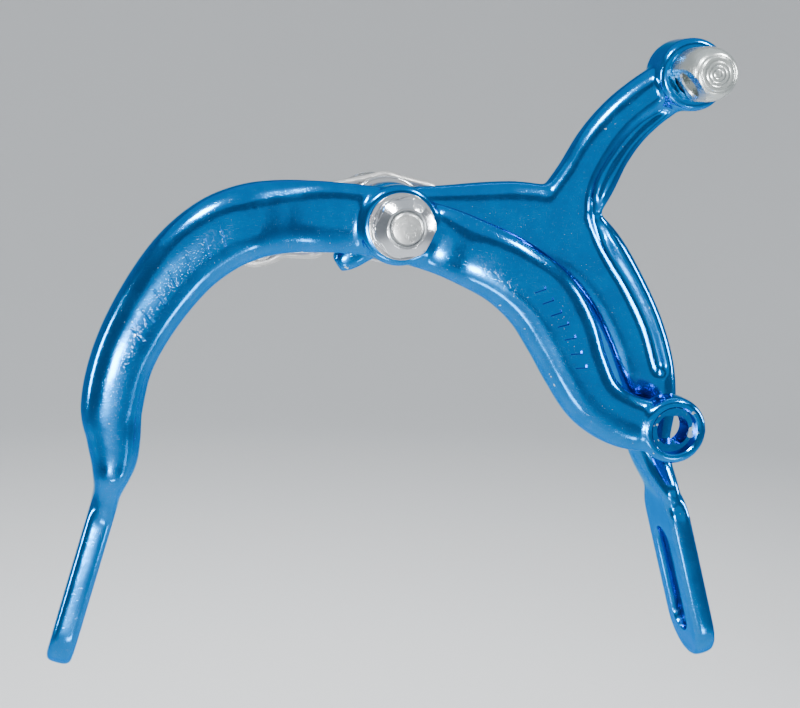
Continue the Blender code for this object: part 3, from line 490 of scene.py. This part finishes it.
# Spring block: a round steel block behind the arms that grips the middle of
# the return spring. The wire lies in a groove over its top, and two sides are
# milled flat for a thin spanner.

low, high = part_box("spring_block")
BLOCK_RADIUS, SPANNER_FLAT = -low.z, high.x
WIRE_RADIUS, WIRE_SLOPE = 0.9 * MM, math.radians(13.0)
WIRE_DEPTH, WIRE_TOP = (low.y + high.y) / 2, BLOCK_RADIUS - 0.1 * MM
HALF_GROOVE = WIRE_RADIUS + 0.2 * MM
PAST = 20 * MM

bm = new_body()
corners = [(HOLE, low.y), (BLOCK_RADIUS, low.y), (BLOCK_RADIUS, high.y), (HOLE, high.y)]
spin(bm, soften([corners[-1], *corners, corners[0]], 0.5 * MM)[1:-1], ring=True, steps=128)
block = piece("spring_block_milled", bm, CHROME, None)
for side, start, end in ((-1, -PAST, 1 * MM), (1, -1 * MM, PAST)):
    cutter = new_body()
    brick(cutter, (start, -HALF_GROOVE, -HALF_GROOVE), (end, HALF_GROOVE, 10 * MM),
          Matrix.Translation((0.0, WIRE_DEPTH, WIRE_TOP))
          @ Matrix.Rotation(side * WIRE_SLOPE, 4, "Y"))
    machine(block, cutter)
cutter = new_body()
for start, end in ((-PAST, -SPANNER_FLAT), (SPANNER_FLAT, PAST)):
    brick(cutter, (start, low.y - 2 * MM, -PAST), (end, high.y + 2 * MM, PAST))
machine(block, cutter)
settle(block, "pivot", ("spring_block",))


# Front arm: one aluminium forging, blue anodised and polished. An arch crosses
# over the tyre to the left shoe plate, and a tail runs to the cable anchor eye,
# all in soft fillets. Only the bores, the eye and the shoe slot are machined.

def through(stations, steps):
    """Stations joined by a smooth curve through each of them."""
    padded = [stations[0], *stations, stations[-1]]
    made = []
    for index in range(1, len(stations)):
        before, start, end, after = padded[index - 1:index + 3]
        for step in range(steps):
            t = step / steps
            made.append([
                0.5 * (2 * b + (c - a) * t + (2 * a - 5 * b + 4 * c - d) * t * t
                       + (3 * b - a - 3 * c + d) * t ** 3)
                for a, b, c, d in zip(before, start, end, after)])
    return made + [list(stations[-1])]


def loft(bm, rings):
    """A closed skin through rings of points, made by extruding one loop."""
    number = bm.verts.layers.int["number"]
    loop = bmesh.ops.create_circle(bm, segments=len(rings[0]), radius=1.0)["verts"]
    for index, vert in enumerate(loop):
        vert[number] = index
        vert.co = rings[0][index]
    edges = list(dict.fromkeys(edge for vert in loop for edge in vert.link_edges))
    bm.faces.new(loop)
    for ring in rings[1:]:
        made = bmesh.ops.extrude_edge_only(bm, edges=edges)["geom"]
        edges = [g for g in made if isinstance(g, bmesh.types.BMEdge)]
        for vert in (g for g in made if isinstance(g, bmesh.types.BMVert)):
            vert.co = ring[vert[number]]
    end = sorted({vert for edge in edges for vert in edge.verts},
                 key=lambda vert: vert[number])
    bm.faces.new(end)


SIDES = 56


def forge(bm, stations, steps=10):
    """A bar through stations of (across, up, half width, front, back, squareness)
    in millimetres, with a section between a round and a rounded box."""
    rows = through(stations, steps)
    rings = []
    for index, (x, z, half, front, rear, square) in enumerate(rows):
        behind, ahead = rows[max(index - 1, 0)], rows[min(index + 1, len(rows) - 1)]
        along = Vector((ahead[0] - behind[0], 0.0, ahead[1] - behind[1])).normalized()
        side = Vector((along.z, 0.0, -along.x))
        ring = []
        for corner in range(SIDES):
            turn = 2 * math.pi * (corner + 0.5) / SIDES
            wide = math.copysign(abs(math.cos(turn)) ** (2 / square), math.cos(turn))
            deep = math.copysign(abs(math.sin(turn)) ** (2 / square), math.sin(turn))
            ring.append((Vector((x, (front + rear) / 2 + deep * (rear - front) / 2, z))
                         + side * (wide * half)) * MM)
        rings.append(ring)
    loft(bm, rings)


def opening(name):
    """The middle of one of the record's openings, in millimetres."""
    for hole in frame["record"]["physics"]["openings"]:
        if hole["name"] == name:
            low, high = (Vector(corner) for corner in hole["box_m"])
            return (low + high) / 2 / MM


LEAN, TOE = math.radians(15.8), math.radians(3.0)
PLATE_DEPTH, PLATE_ABOVE, PLATE_BELOW, PLATE_ROUNDING = 15.0, 19.5, 16.5, 1.1
SLOT_HALF, SLOT_REACH = 3.25, 10.8
MOUTH_DEPTH, MOUTH_FLARE = 0.35, 1.4


def plate_place(side, slot):
    """Across the plate's depth, up the plate, and its normal, at the slot."""
    up = Vector((-side * math.sin(LEAN), 0.0, math.cos(LEAN)))
    depth = Vector((0.0, 1.0, 0.0))
    place = Matrix((depth, up, depth.cross(up))).transposed().to_4x4()
    place.translation = slot * MM
    return place @ Matrix.Rotation(side * TOE, 4, "Y")


def plate_outline(inset):
    """Round below, with two sloping shoulders above."""
    half = PLATE_DEPTH / 2 - inset
    points = [(half * math.cos(t), PLATE_DEPTH / 2 - PLATE_BELOW + half * math.sin(t))
              for t in (math.pi + math.pi * step / 24 for step in range(25))]
    for side in (1, -1):
        shoulder = [(side * (half - x), PLATE_ABOVE - inset - z)
                    for x, z in ((0.0, 6.0), (0.15, 4.6), (0.7, 3.2), (1.35, 2.1), (2.2, 1.2),
                                 (3.2, 0.5), (4.6, 0.0))]
        points += shoulder[::side]
    return points


def shoe_plate(bm, side, slot, thickness):
    """A flat plate with its edges rounded over."""
    place = plate_place(side, slot)
    flat = thickness / 2 - PLATE_ROUNDING
    levels = [(PLATE_ROUNDING * (1 - math.sin(t)), -flat - PLATE_ROUNDING * math.cos(t))
              for t in (math.pi / 2 * step / 4 for step in range(5))]
    levels += [(inset, -height) for inset, height in reversed(levels)]
    loft(bm, [[place @ (Vector((x, z, height)) * MM) for x, z in plate_outline(inset)]
              for inset, height in levels])


def shoe_slot(side, slot, thickness):
    """The cutter for a slot with both mouths countersunk a little."""
    bm = new_body()
    place = plate_place(side, slot)
    straight = thickness / 2 - MOUTH_DEPTH
    rings = []
    for height, grow in ((-thickness, MOUTH_FLARE), (-straight, 0.0), (straight, 0.0),
                         (thickness, MOUTH_FLARE)):
        ring = []
        for end, start in ((1, 0.0), (-1, math.pi)):
            for step in range(17):
                turn = start + math.pi * step / 16
                ring.append(place @ (Vector((
                    (SLOT_HALF + grow) * math.cos(turn),
                    end * (SLOT_REACH - SLOT_HALF) + (SLOT_HALF + grow) * math.sin(turn),
                    height)) * MM))
        rings.append(ring)
    loft(bm, rings)
    return bm


VOXEL, SMOOTHING = 0.36 * MM, 14
FRONT_FACING = -0.2


def gap_to(path, at):
    """How far a point is from a line through points."""
    gaps = []
    for start, end in zip(path, path[1:]):
        run = end - start
        share = min(max((at - start).dot(run) / run.length_squared, 0.0), 1.0)
        gaps.append((at - start - run * share).length)
    return min(gaps)


def press(bm, path, half_width, depth):
    """Sinks a round-bottomed channel along a path into a forging's front."""
    path = [Vector(place) * MM for place in through(path, 6)]
    half_width, depth = half_width * MM, depth * MM
    margin = Vector((half_width, half_width))
    low = Vector((min(p.x for p in path), min(p.y for p in path))) - margin
    high = Vector((max(p.x for p in path), max(p.y for p in path))) + margin
    bm.normal_update()
    for vert in bm.verts:
        at = Vector((vert.co.x, vert.co.z))
        if (vert.normal.y > FRONT_FACING or not low.x < at.x < high.x
                or not low.y < at.y < high.y):
            continue
        gap = gap_to(path, at)
        if gap < half_width:
            share = math.cos(gap / half_width * math.pi / 2) ** 2
            vert.co.y += depth * share * -vert.normal.y


def finish_forging(name, bm, channels=()):
    """Fuses the shapes in a bmesh into one blue skin, presses its channels and
    softens every inner corner."""
    forging = piece(name, bm, BLUE, None)
    fuse = forging.modifiers.new("fuse", "REMESH")
    fuse.mode = "VOXEL"
    fuse.voxel_size = VOXEL
    settle_mesh(forging)
    skin = bmesh.new()
    skin.from_mesh(forging.data)
    for path, half_width, depth in channels:
        press(skin, path, half_width, depth)
    for _ in range(SMOOTHING):
        bmesh.ops.smooth_vert(skin, verts=skin.verts, factor=0.5,
                              use_axis_x=True, use_axis_y=True, use_axis_z=True)
    skin.to_mesh(forging.data)
    skin.free()
    return forging


def anodised(name):
    """Blue dye in the oxide on polished aluminium, with flecks, hairline
    scratches and a few chips along the edges where bare metal shows."""
    finish = Finish(name, (0.0, 0.15, 0.50), 0.20, 1.0)
    cloud = finish.step(finish.noise(240, 3), 0.35, 0.70)
    blue = finish.mix(cloud, (0.0, 0.165, 0.500, 1.0), (0.0, 0.190, 0.560, 1.0))
    fleck = (finish.step(finish.noise(2600, 1), 0.735, 0.77)
             * finish.step(finish.noise(220, 2), 0.50, 0.60))
    hair = (finish.step(finish.noise(1100, 2, (1, 1, 18), (0.4, 0.9, 0)), 0.665, 0.70)
            + finish.step(finish.noise(1000, 2, (16, 1, 1), (0, 0.6, 0.5)), 0.67, 0.705))
    edge = finish.node("NewGeometry", output="Pointiness")
    chip = (finish.step(edge, 0.545, 0.57)
            * finish.step(finish.noise(520, 3), 0.60, 0.64))
    worn = finish.node("Clamp", None, fleck * 0.55 + hair * 0.20 + chip * 0.9)
    finish.set("Base Color", finish.mix(worn, blue, (0.62, 0.74, 0.80, 1.0)))
    finish.set("Roughness", 0.13 + cloud * 0.03 + worn * 0.20)
    orange_peel = finish.noise(420, 2) * 0.8 + finish.noise(1500, 2) * 0.2
    finish.set("Normal", finish.bump(orange_peel - worn * 0.25, 0.05 * MM, 0.5))
    finish.set("Specular Tint", (0.10, 0.55, 0.90, 1.0))
    return finish


BLUE = anodised("blue_anodised_lacquer")

# Depths along the bolt from here on are in millimetres, less being further
# forward. FACE is the flat front of the arch and the tail.
RUNNING_GAP = 0.3 * MM
FRONT_BOSS_REAR = (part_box("middle_washer")[0].y - RUNNING_GAP) / MM
FRONT_BOSS_FACE = (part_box("front_washer")[1].y + RUNNING_GAP) / MM
FACE = FRONT_BOSS_FACE - 3.4
ARCH_REAR = FACE + 10.2
TAIL_REAR = FRONT_BOSS_REAR - 0.2
BOSS_RADIUS, BOSS_EDGE = 7.3, 0.7
FRONT_PLATE = 4.8
left_slot = opening("left_shoe_slot")
PLATE_FRONT, PLATE_REAR = left_slot.y - PLATE_DEPTH / 2, left_slot.y + PLATE_DEPTH / 2
eye = opening("cable_eye_hole")
EYE_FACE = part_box("front_arm")[0].y / MM
EYE_REAR = EYE_FACE + 6.6
EYE_RADIUS, RECESS_RADIUS, RECESS_DEPTH = 6.3, 4.4, 1.5
EYE_HOLE_RADIUS, EYE_HOLE_FLAT = 3.1, 2.65


def turned(bm, profile, centre, steps=96):
    """Spins a profile in millimetres about a centre in millimetres."""
    spin(bm, [(radius * MM, depth * MM) for radius, depth in profile],
         at=(centre[0] * MM, centre[1] * MM), steps=steps)


def boss(bm, centre, radius, front, rear):
    """A round boss with both of its rims broken."""
    turned(bm, [(0.0, front), (radius - BOSS_EDGE, front), (radius, front + BOSS_EDGE),
                (radius, rear - BOSS_EDGE), (radius - BOSS_EDGE, rear), (0.0, rear)], centre)


bm = new_body()
forge(bm, [
    (1.7, 0.0, 6.3, FRONT_BOSS_FACE + 1.0, TAIL_REAR - 0.2, 2.6),
    (-8.6, 0.9, 6.4, FRONT_BOSS_FACE + 1.1, TAIL_REAR, 2.4),
    (-15.0, 1.2, 6.5, FRONT_BOSS_FACE + 0.6, TAIL_REAR, 2.3),
    (-21.3, 1.1, 6.6, FACE + 2.2, ARCH_REAR, 2.4),
    (-27.2, 0.1, 6.8, FACE + 0.4, ARCH_REAR, 2.6),
    (-32.9, -2.5, 6.8, FACE, ARCH_REAR, 2.7),
    (-38.8, -7.6, 6.5, FACE, ARCH_REAR, 2.7),
    (-44.7, -15.8, 6.0, FACE, ARCH_REAR, 2.7),
    (-48.9, -24.4, 5.6, FACE, ARCH_REAR, 2.7),
    (-50.7, -32.8, 5.5, FACE + 0.5, ARCH_REAR + 1.0, 2.7),
    (-50.4, -38.2, 4.9, FACE + 1.0, ARCH_REAR + 2.4, 2.7),
    (-50.3, -42.5, 4.3, FACE + 1.4, ARCH_REAR + 4.4, 2.7),
    (-50.8, -46.0, 3.4, FACE + 1.6, ARCH_REAR + 6.6, 2.8),
    (-51.5, -49.6, 2.5, PLATE_FRONT - 1.6, PLATE_REAR - 0.2, 3.2),
    (-52.4, -53.4, 2.2, PLATE_FRONT - 0.3, PLATE_REAR - 0.8, 4.0),
    (-53.4, -57.2, 1.9, PLATE_FRONT + 0.6, PLATE_REAR - 1.2, 4.0)])
forge(bm, [
    (-2.1, 0.0, 6.1, FRONT_BOSS_FACE + 0.8, TAIL_REAR - 0.1, 2.6),
    (7.3, -2.4, 6.2, FRONT_BOSS_FACE + 0.2, TAIL_REAR, 2.6),
    (13.9, -4.9, 6.3, FACE + 1.4, TAIL_REAR, 2.8),
    (20.7, -8.2, 6.6, FACE + 0.3, TAIL_REAR, 2.8),
    (26.8, -13.2, 7.0, FACE, TAIL_REAR, 2.8),
    (30.8, -19.2, 6.9, FACE, TAIL_REAR, 2.8),
    (33.8, -25.5, 6.2, FACE, TAIL_REAR, 2.7),
    (37.7, -31.8, 5.6, FACE, TAIL_REAR - 0.8, 2.6),
    (44.0, -35.7, 5.2, FACE + 0.2, EYE_REAR + 0.6, 2.6),
    (eye.x, eye.z, 4.7, EYE_FACE + 0.9, EYE_REAR - 0.3, 2.6)])
boss(bm, (0.0, 0.0), BOSS_RADIUS, FRONT_BOSS_FACE, FRONT_BOSS_REAR)
boss(bm, (eye.x, eye.z), EYE_RADIUS, EYE_FACE, EYE_REAR)
shoe_plate(bm, -1, left_slot, FRONT_PLATE)
front_arm = finish_forging("front_arm_forging", bm)


def drill(centre, profile):
    """A turned cutter at a centre in millimetres."""
    bm = new_body()
    turned(bm, profile, centre, steps=72)
    return bm


def countersunk(radius, front, rear, flare=0.3):
    """A drill's profile that also breaks the edge of the hole at both faces."""
    past = 1.5
    return [(0.0, front - past), (radius + flare + past, front - past), (radius, front + flare),
            (radius, rear - flare), (radius + flare + past, rear + past), (0.0, rear + past)]


BORE = HOLE / MM
machine(front_arm, drill((0.0, 0.0), countersunk(BORE, FRONT_BOSS_FACE, FRONT_BOSS_REAR)))
machine(front_arm, drill((eye.x, eye.z), [
    (0.0, EYE_FACE - 2), (RECESS_RADIUS + 0.35, EYE_FACE - 2),
    (RECESS_RADIUS + 0.35, EYE_FACE - 0.1), (RECESS_RADIUS, EYE_FACE + 0.25),
    (RECESS_RADIUS, EYE_FACE + RECESS_DEPTH), (0.0, EYE_FACE + RECESS_DEPTH)]))
double_d = drill((eye.x, eye.z), [
    (0.0, EYE_FACE - 2), (EYE_HOLE_RADIUS, EYE_FACE - 2), (EYE_HOLE_RADIUS, EYE_REAR + 2),
    (0.0, EYE_REAR + 2)])
for side in (-1, 1):
    bmesh.ops.bisect_plane(double_d,
                           geom=double_d.verts[:] + double_d.edges[:] + double_d.faces[:],
                           plane_co=(0.0, 0.0, (eye.z + side * EYE_HOLE_FLAT) * MM),
                           plane_no=(0.0, 0.0, side), clear_outer=True)
    bmesh.ops.holes_fill(double_d, edges=[e for e in double_d.edges if e.is_boundary])
machine(front_arm, double_d)

MARKS, MARK_WIDTH, MARK_DEPTH, MARK_SLANT = 7, 0.64, 0.55, math.radians(18)
marks = new_body()
for path, tall in (([(-46.3, -19.3), (-44.2, -15.3), (-41.7, -11.4), (-38.7, -7.7),
                     (-35.2, -4.6), (-32.0, -2.3)], 3.4),
                   ([(25.3, -10.8), (27.7, -14.0), (29.9, -17.1), (32.0, -20.8),
                     (33.7, -24.9)], 2.2)):
    row = through(path, 12)
    for step in range(MARKS):
        index = round(step * (len(row) - 1) / (MARKS - 1))
        before, after = row[max(index - 1, 0)], row[min(index + 1, len(row) - 1)]
        turn = math.atan2(after[1] - before[1], after[0] - before[0])
        brick(marks, (-MARK_WIDTH / 2 * MM, (FACE - 1) * MM, -tall / 2 * MM),
              (MARK_WIDTH / 2 * MM, (FACE + MARK_DEPTH) * MM, tall / 2 * MM),
              Matrix.Translation((row[index][0] * MM, 0.0, row[index][1] * MM))
              @ Matrix.Rotation(MARK_SLANT - turn, 4, "Y"))
machine(front_arm, marks)
machine(front_arm, shoe_slot(-1, left_slot, FRONT_PLATE))
settle(front_arm, "front_arm", ("front_arm",))


# Rear arm: a second aluminium forging in the same blue. A broad flat web runs
# from the pivot and forks, down to the right shoe plate and up to the stud's
# boss. A small stop tab under its boss limits how far the arms open.

REAR_BOSS_FACE = (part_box("middle_washer")[1].y + RUNNING_GAP) / MM
REAR_BOSS_REAR = REAR_BOSS_FACE + 6.3
WEB_REAR = REAR_BOSS_FACE + 7.6
right_slot = opening("right_shoe_slot")
low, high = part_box("stud_washer")
stud = Vector((low.x + high.x, 0.0, low.z + high.z)) / 2 / MM
STUD_FACE = REAR_BOSS_FACE - 2.0
STUD_REAR = WEB_REAR + 0.3
STUD_BOSS_RADIUS, STUD_BORE = 6.8, 3.8
REAR_PLATE = 4.3

bm = new_body()
forge(bm, [
    (0.0, 0.0, 6.4, REAR_BOSS_FACE + 0.4, REAR_BOSS_REAR, 3.0),
    (8.2, 0.3, 6.5, REAR_BOSS_FACE + 0.2, REAR_BOSS_REAR, 3.0),
    (16.4, 0.0, 7.6, REAR_BOSS_FACE, WEB_REAR, 3.0),
    (24.6, -0.5, 8.4, REAR_BOSS_FACE, WEB_REAR, 3.0),
    (31.6, -2.2, 8.6, REAR_BOSS_FACE, WEB_REAR, 3.0),
    (38.0, -6.1, 7.6, REAR_BOSS_FACE, WEB_REAR, 3.0),
    (43.6, -13.0, 6.7, REAR_BOSS_FACE, WEB_REAR, 3.0),
    (47.7, -20.5, 6.5, REAR_BOSS_FACE, WEB_REAR, 3.0),
    (50.4, -28.0, 6.3, REAR_BOSS_FACE, WEB_REAR, 3.0),
    (51.8, -34.8, 5.6, REAR_BOSS_FACE - 0.2, WEB_REAR + 0.3, 2.8),
    (52.2, -40.9, 4.3, REAR_BOSS_FACE - 0.8, WEB_REAR + 0.8, 2.8),
    (53.2, -45.4, 3.3, REAR_BOSS_FACE - 2.0, WEB_REAR + 1.4, 2.9),
    (54.9, -50.2, 2.3, PLATE_FRONT + 0.4, PLATE_REAR - 0.4, 3.2),
    (56.1, -54.0, 1.6, PLATE_FRONT + 0.8, PLATE_REAR - 0.8, 4.0)])
forge(bm, [
    (32.3, 0.9, 6.0, REAR_BOSS_FACE, WEB_REAR, 3.0),
    (36.9, 8.0, 5.8, REAR_BOSS_FACE, WEB_REAR, 2.8),
    (40.2, 14.3, 5.5, REAR_BOSS_FACE, WEB_REAR, 2.7),
    (44.0, 19.4, 5.2, REAR_BOSS_FACE - 0.2, WEB_REAR, 2.7),
    (48.7, 23.7, 5.0, REAR_BOSS_FACE - 0.5, WEB_REAR - 0.3, 2.7),
    (stud.x, stud.z, 4.8, STUD_FACE + 0.8, STUD_REAR - 0.5, 2.7)])
forge(bm, [
    (-2.2, -2.2, 3.4, REAR_BOSS_FACE + 0.8, REAR_BOSS_REAR - 0.6, 3.0),
    (-7.4, -6.3, 2.7, REAR_BOSS_FACE + 0.9, REAR_BOSS_REAR - 0.7, 3.0),
    (-9.9, -8.0, 1.7, REAR_BOSS_FACE + 1.4, REAR_BOSS_REAR - 1.2, 3.0)])
boss(bm, (0.0, 0.0), BOSS_RADIUS, REAR_BOSS_FACE, REAR_BOSS_REAR)
boss(bm, (stud.x, stud.z), STUD_BOSS_RADIUS, STUD_FACE, STUD_REAR)
shoe_plate(bm, 1, right_slot, REAR_PLATE)
rear_arm = finish_forging("rear_arm_forging", bm, channels=[
    ([(50.3, 21.9), (45.4, 18.0), (41.8, 13.3), (38.8, 7.2), (38.9, 1.5), (41.8, -5.0),
      (46.2, -11.6), (50.4, -19.4), (53.0, -27.1)], 1.9, 1.5)])
machine(rear_arm, drill((0.0, 0.0), countersunk(BORE, REAR_BOSS_FACE, REAR_BOSS_REAR)))
machine(rear_arm, drill((stud.x, stud.z), countersunk(STUD_BORE, STUD_FACE, STUD_REAR)))
machine(rear_arm, shoe_slot(1, right_slot, REAR_PLATE))
settle(rear_arm, "rear_arm", ("rear_arm",))


# Cable stud: a turned steel stud that swivels in the boss and takes the
# cable's adjuster through a cross hole in a milled flat. Its round nose ends
# in a faced disc with rings left by the tool.

low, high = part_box("cable_stud")
STUD_TIP = low.y / MM
STUD_BASE = STUD_FACE - 0.3
STUD_RADIUS, TIP_RADIUS, NOSE = 5.0, 3.2, 5.3
STEM_RADIUS, GROOVE_RADIUS = 3.5, 2.7
STEM_END = high.y / MM
STUD_FLAT, CROSS_RADIUS, CROSS_BACK = 3.6, 2.55, 4.6
STUD_TURN = Matrix.Rotation(-math.radians(216.0), 4, "Y")
clip_front, clip_rear = (corner.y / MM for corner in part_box("stud_clip"))

tip = [(0.0, STUD_TIP + 0.10), (0.25, STUD_TIP + 0.02)]
for ring in (0.8, 1.5, 2.2):
    tip += [(ring - 0.16, STUD_TIP), (ring, STUD_TIP + 0.09), (ring + 0.16, STUD_TIP)]
nose = [(TIP_RADIUS + (STUD_RADIUS - TIP_RADIUS) * math.sin(t),
         STUD_TIP + 0.3 + NOSE * (1 - math.cos(t)))
        for t in (math.pi / 2 * step / 20 for step in range(21))]
shank = [(STUD_RADIUS, STUD_BASE - 0.4), (STUD_RADIUS - 0.4, STUD_BASE),
         (STEM_RADIUS, STUD_BASE), (STEM_RADIUS, clip_front - 0.3),
         (GROOVE_RADIUS, clip_front - 0.3), (GROOVE_RADIUS, clip_rear + 0.3),
         (STEM_RADIUS, clip_rear + 0.3), (STEM_RADIUS, STEM_END - 0.4),
         (STEM_RADIUS - 0.4, STEM_END), (0.0, STEM_END)]
bm = new_body()
turned(bm, tip + soften([(TIP_RADIUS - 0.4, STUD_TIP), (TIP_RADIUS - 0.2, STUD_TIP + 0.05),
                         *nose, *shank], 0.15), (stud.x, stud.z), steps=128)


def turned_steel(name, middle):
    """Bright steel with fine rings from the lathe about a line along Y."""
    finish = metal(name, (0.62, 0.66, 0.64), 0.24, 0.010)
    place = finish.node("Mapping", None, finish.place,
                        Location=(-middle.x * MM, 0.0, -middle.z * MM))
    ringed = finish.node("Mapping", None, place, Rotation=(math.pi / 2, 0.0, 0.0))
    rings = finish.node("TexWave", {"wave_type": "RINGS", "rings_direction": "Z"},
                        Vector=ringed, Scale=900, Distortion=1.5, Detail=2.0)
    finish.set("Normal", finish.bump(rings + finish.noise(900, 2) * 0.5, 0.010 * MM))
    return finish


STUD_STEEL = turned_steel("turned_stud_steel", stud)
cable_stud = piece("cable_stud_turned", bm, STUD_STEEL, None)
cutter = new_body()
brick(cutter, (STUD_FLAT * MM, (STUD_TIP - 2) * MM, -12 * MM),
      (12 * MM, (STUD_BASE + 0.15) * MM, 12 * MM),
      Matrix.Translation((stud.x * MM, 0.0, stud.z * MM)) @ STUD_TURN)
machine(cable_stud, cutter)
cutter = new_body()
turned(cutter, [(0.0, -7.0), (CROSS_RADIUS + 3.6, -7.0), (CROSS_RADIUS, -3.3),
                (CROSS_RADIUS, 4.4), (CROSS_RADIUS + 2.6, 7.0), (0.0, 7.0)], (0.0, 0.0),
       steps=64)
bmesh.ops.rotate(cutter, verts=cutter.verts, matrix=Matrix.Rotation(math.pi / 2, 3, "Z"))
bmesh.ops.transform(cutter, verts=cutter.verts, matrix=Matrix.Translation(
    (stud.x * MM, (STUD_BASE - CROSS_BACK) * MM, stud.z * MM)) @ STUD_TURN)
machine(cable_stud, cutter)
settle(cable_stud, "cable_stud", ("cable_stud",))


# Stud washer and clip: a zinc plated washer lies behind the boss, and an open
# ring of spring steel snaps into the stud's groove over it, so that the stud
# can turn but not come out.

WIRE_STEEL = metal("spring_wire_steel", (0.56, 0.56, 0.55), 0.30, 0.015)
CLIP_MOUTH = 4.4

piece("stud_washer_stamped", stamped("stud_washer", (STEM_RADIUS + 0.3) * MM), STEEL,
      "cable_stud", "stud_washer", slot="bare_steel")
clip = piece("stud_clip_sprung", stamped("stud_clip", (GROOVE_RADIUS + 0.3) * MM, 0.15 * MM),
             WIRE_STEEL, None)
cutter = new_body()
brick(cutter,
      ((stud.x - CLIP_MOUTH / 2) * MM, (clip_front - 1) * MM, (stud.z - 11) * MM),
      ((stud.x + CLIP_MOUTH / 2) * MM, (clip_rear + 1) * MM, stud.z * MM))
machine(clip, cutter)
settle(clip, "cable_stud", ("stud_clip",))


# Spring pegs: shouldered steel pins pressed into blind holes behind the arms,
# one for each end of the return spring to bear on.

STEM, STEM_IN, COLLAR_OUT = 1.3, 2.7, 0.3

for node, body, arm_rear in (("front_spring_peg", "front_arm", ARCH_REAR),
                             ("rear_spring_peg", "rear_arm", WEB_REAR)):
    low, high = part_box(node)
    middle = (low + high) / 2
    radius = radius_of(node) / MM
    bm = new_body()
    profile = [(0.0, arm_rear - STEM_IN), (STEM, arm_rear - STEM_IN),
               (STEM, arm_rear + COLLAR_OUT), (radius, arm_rear + COLLAR_OUT),
               (radius, high.y / MM), (0.0, high.y / MM)]
    spin(bm, [(r * MM, y * MM) for r, y in soften(profile, 0.3)], at=(middle.x, middle.z),
         steps=48)
    piece(node + "_turned", bm, STEEL, body, node, slot="bare_steel")


# Return spring: one hard drawn wire. It lies over the block, makes a loop on
# each side, and its two legs push up on the pegs to open the arms. Each half
# is its own piece here.

LOOP_RADIUS, LOOP_ACROSS, LOOP_BELOW = 3.1, 14.2, 3.7
LOOP_TURNS, LOOP_STEPS = 1.25, 60
LOOP_PITCH = 2 * WIRE_RADIUS / MM + 0.4
LEG_BELOW = 6.7


def wire(bm, points, radius, sides=16):
    """A round wire along points, with both ends rounded off."""
    first, last = points[0] - points[1], points[-1] - points[-2]
    points = ([points[0] + first.normalized() * radius * 0.35] + points
              + [points[-1] + last.normalized() * radius * 0.35])
    rings = []
    side = Vector((0.0, 1.0, 0.0))
    for index, place in enumerate(points):
        ahead, behind = points[min(index + 1, len(points) - 1)], points[max(index - 1, 0)]
        along = (ahead - behind).normalized()
        side = (side - along * side.dot(along)).normalized()
        other = along.cross(side)
        grip = radius * (0.72 if index in (0, len(points) - 1) else 1.0)
        rings.append([place + side * (grip * math.cos(2 * math.pi * step / sides))
                      + other * (grip * math.sin(2 * math.pi * step / sides))
                      for step in range(sides)])
    loft(bm, rings)


for side, node, body, leg_ahead in ((-1, "front_spring_peg", "front_arm", -3.2),
                                    (1, "rear_spring_peg", "rear_arm", LOOP_PITCH)):
    low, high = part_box(node)
    peg = (low + high) / 2 / MM
    peg_radius = radius_of(node) / MM
    peg_across = abs(peg.x)
    depth, top = WIRE_DEPTH / MM, WIRE_TOP / MM
    inner = LOOP_ACROSS - LOOP_RADIUS
    slope = math.tan(WIRE_SLOPE)
    under_peg = peg.z - peg_radius - 0.3 - WIRE_RADIUS / MM
    shoulder = [(-0.02 * inner, depth, top), (0.08 * inner, depth, top - 0.05 * inner * slope),
                (0.25 * inner, depth, top - 0.25 * inner * slope),
                (0.60 * inner, depth, top - 0.60 * inner * slope),
                (0.86 * inner, depth, top - 0.92 * inner * slope),
                (0.98 * inner, depth, 0.45 * top), (1.00 * inner, depth, 0.0)]
    run = through(shoulder, 8)
    loop_end = depth + math.copysign(LOOP_PITCH, leg_ahead)
    for step in range(LOOP_STEPS + 1):
        turn = LOOP_TURNS * 2 * math.pi * step / LOOP_STEPS
        run.append((LOOP_ACROSS - LOOP_RADIUS * math.cos(turn),
                    depth + (loop_end - depth) * step / LOOP_STEPS,
                    -LOOP_BELOW - LOOP_RADIUS * math.sin(turn)))
    reach = peg_across - LOOP_ACROSS
    leg = [(LOOP_ACROSS + 0.12 * reach, loop_end, -LOOP_BELOW - LOOP_RADIUS),
           (LOOP_ACROSS + 0.50 * reach, depth + leg_ahead, -LEG_BELOW),
           (peg_across - peg_radius, depth + leg_ahead, under_peg + 0.5),
           (peg_across, depth + leg_ahead, under_peg),
           (peg_across + peg_radius, depth + leg_ahead, under_peg + 0.4),
           (peg_across + 2 * peg_radius, depth + leg_ahead, under_peg + 1.6)]
    run += through(leg, 8)
    bm = new_body()
    wire(bm, [Vector((side * x, y, z)) * MM for x, y, z in run], WIRE_RADIUS)
    name = "return_spring_" + ("left" if side < 0 else "right")
    spring = piece(name, bm, WIRE_STEEL, None)
    side * inner * MM
    side * (peg_across - peg_radius) * MM
    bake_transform(spring)
    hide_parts("return_spring")
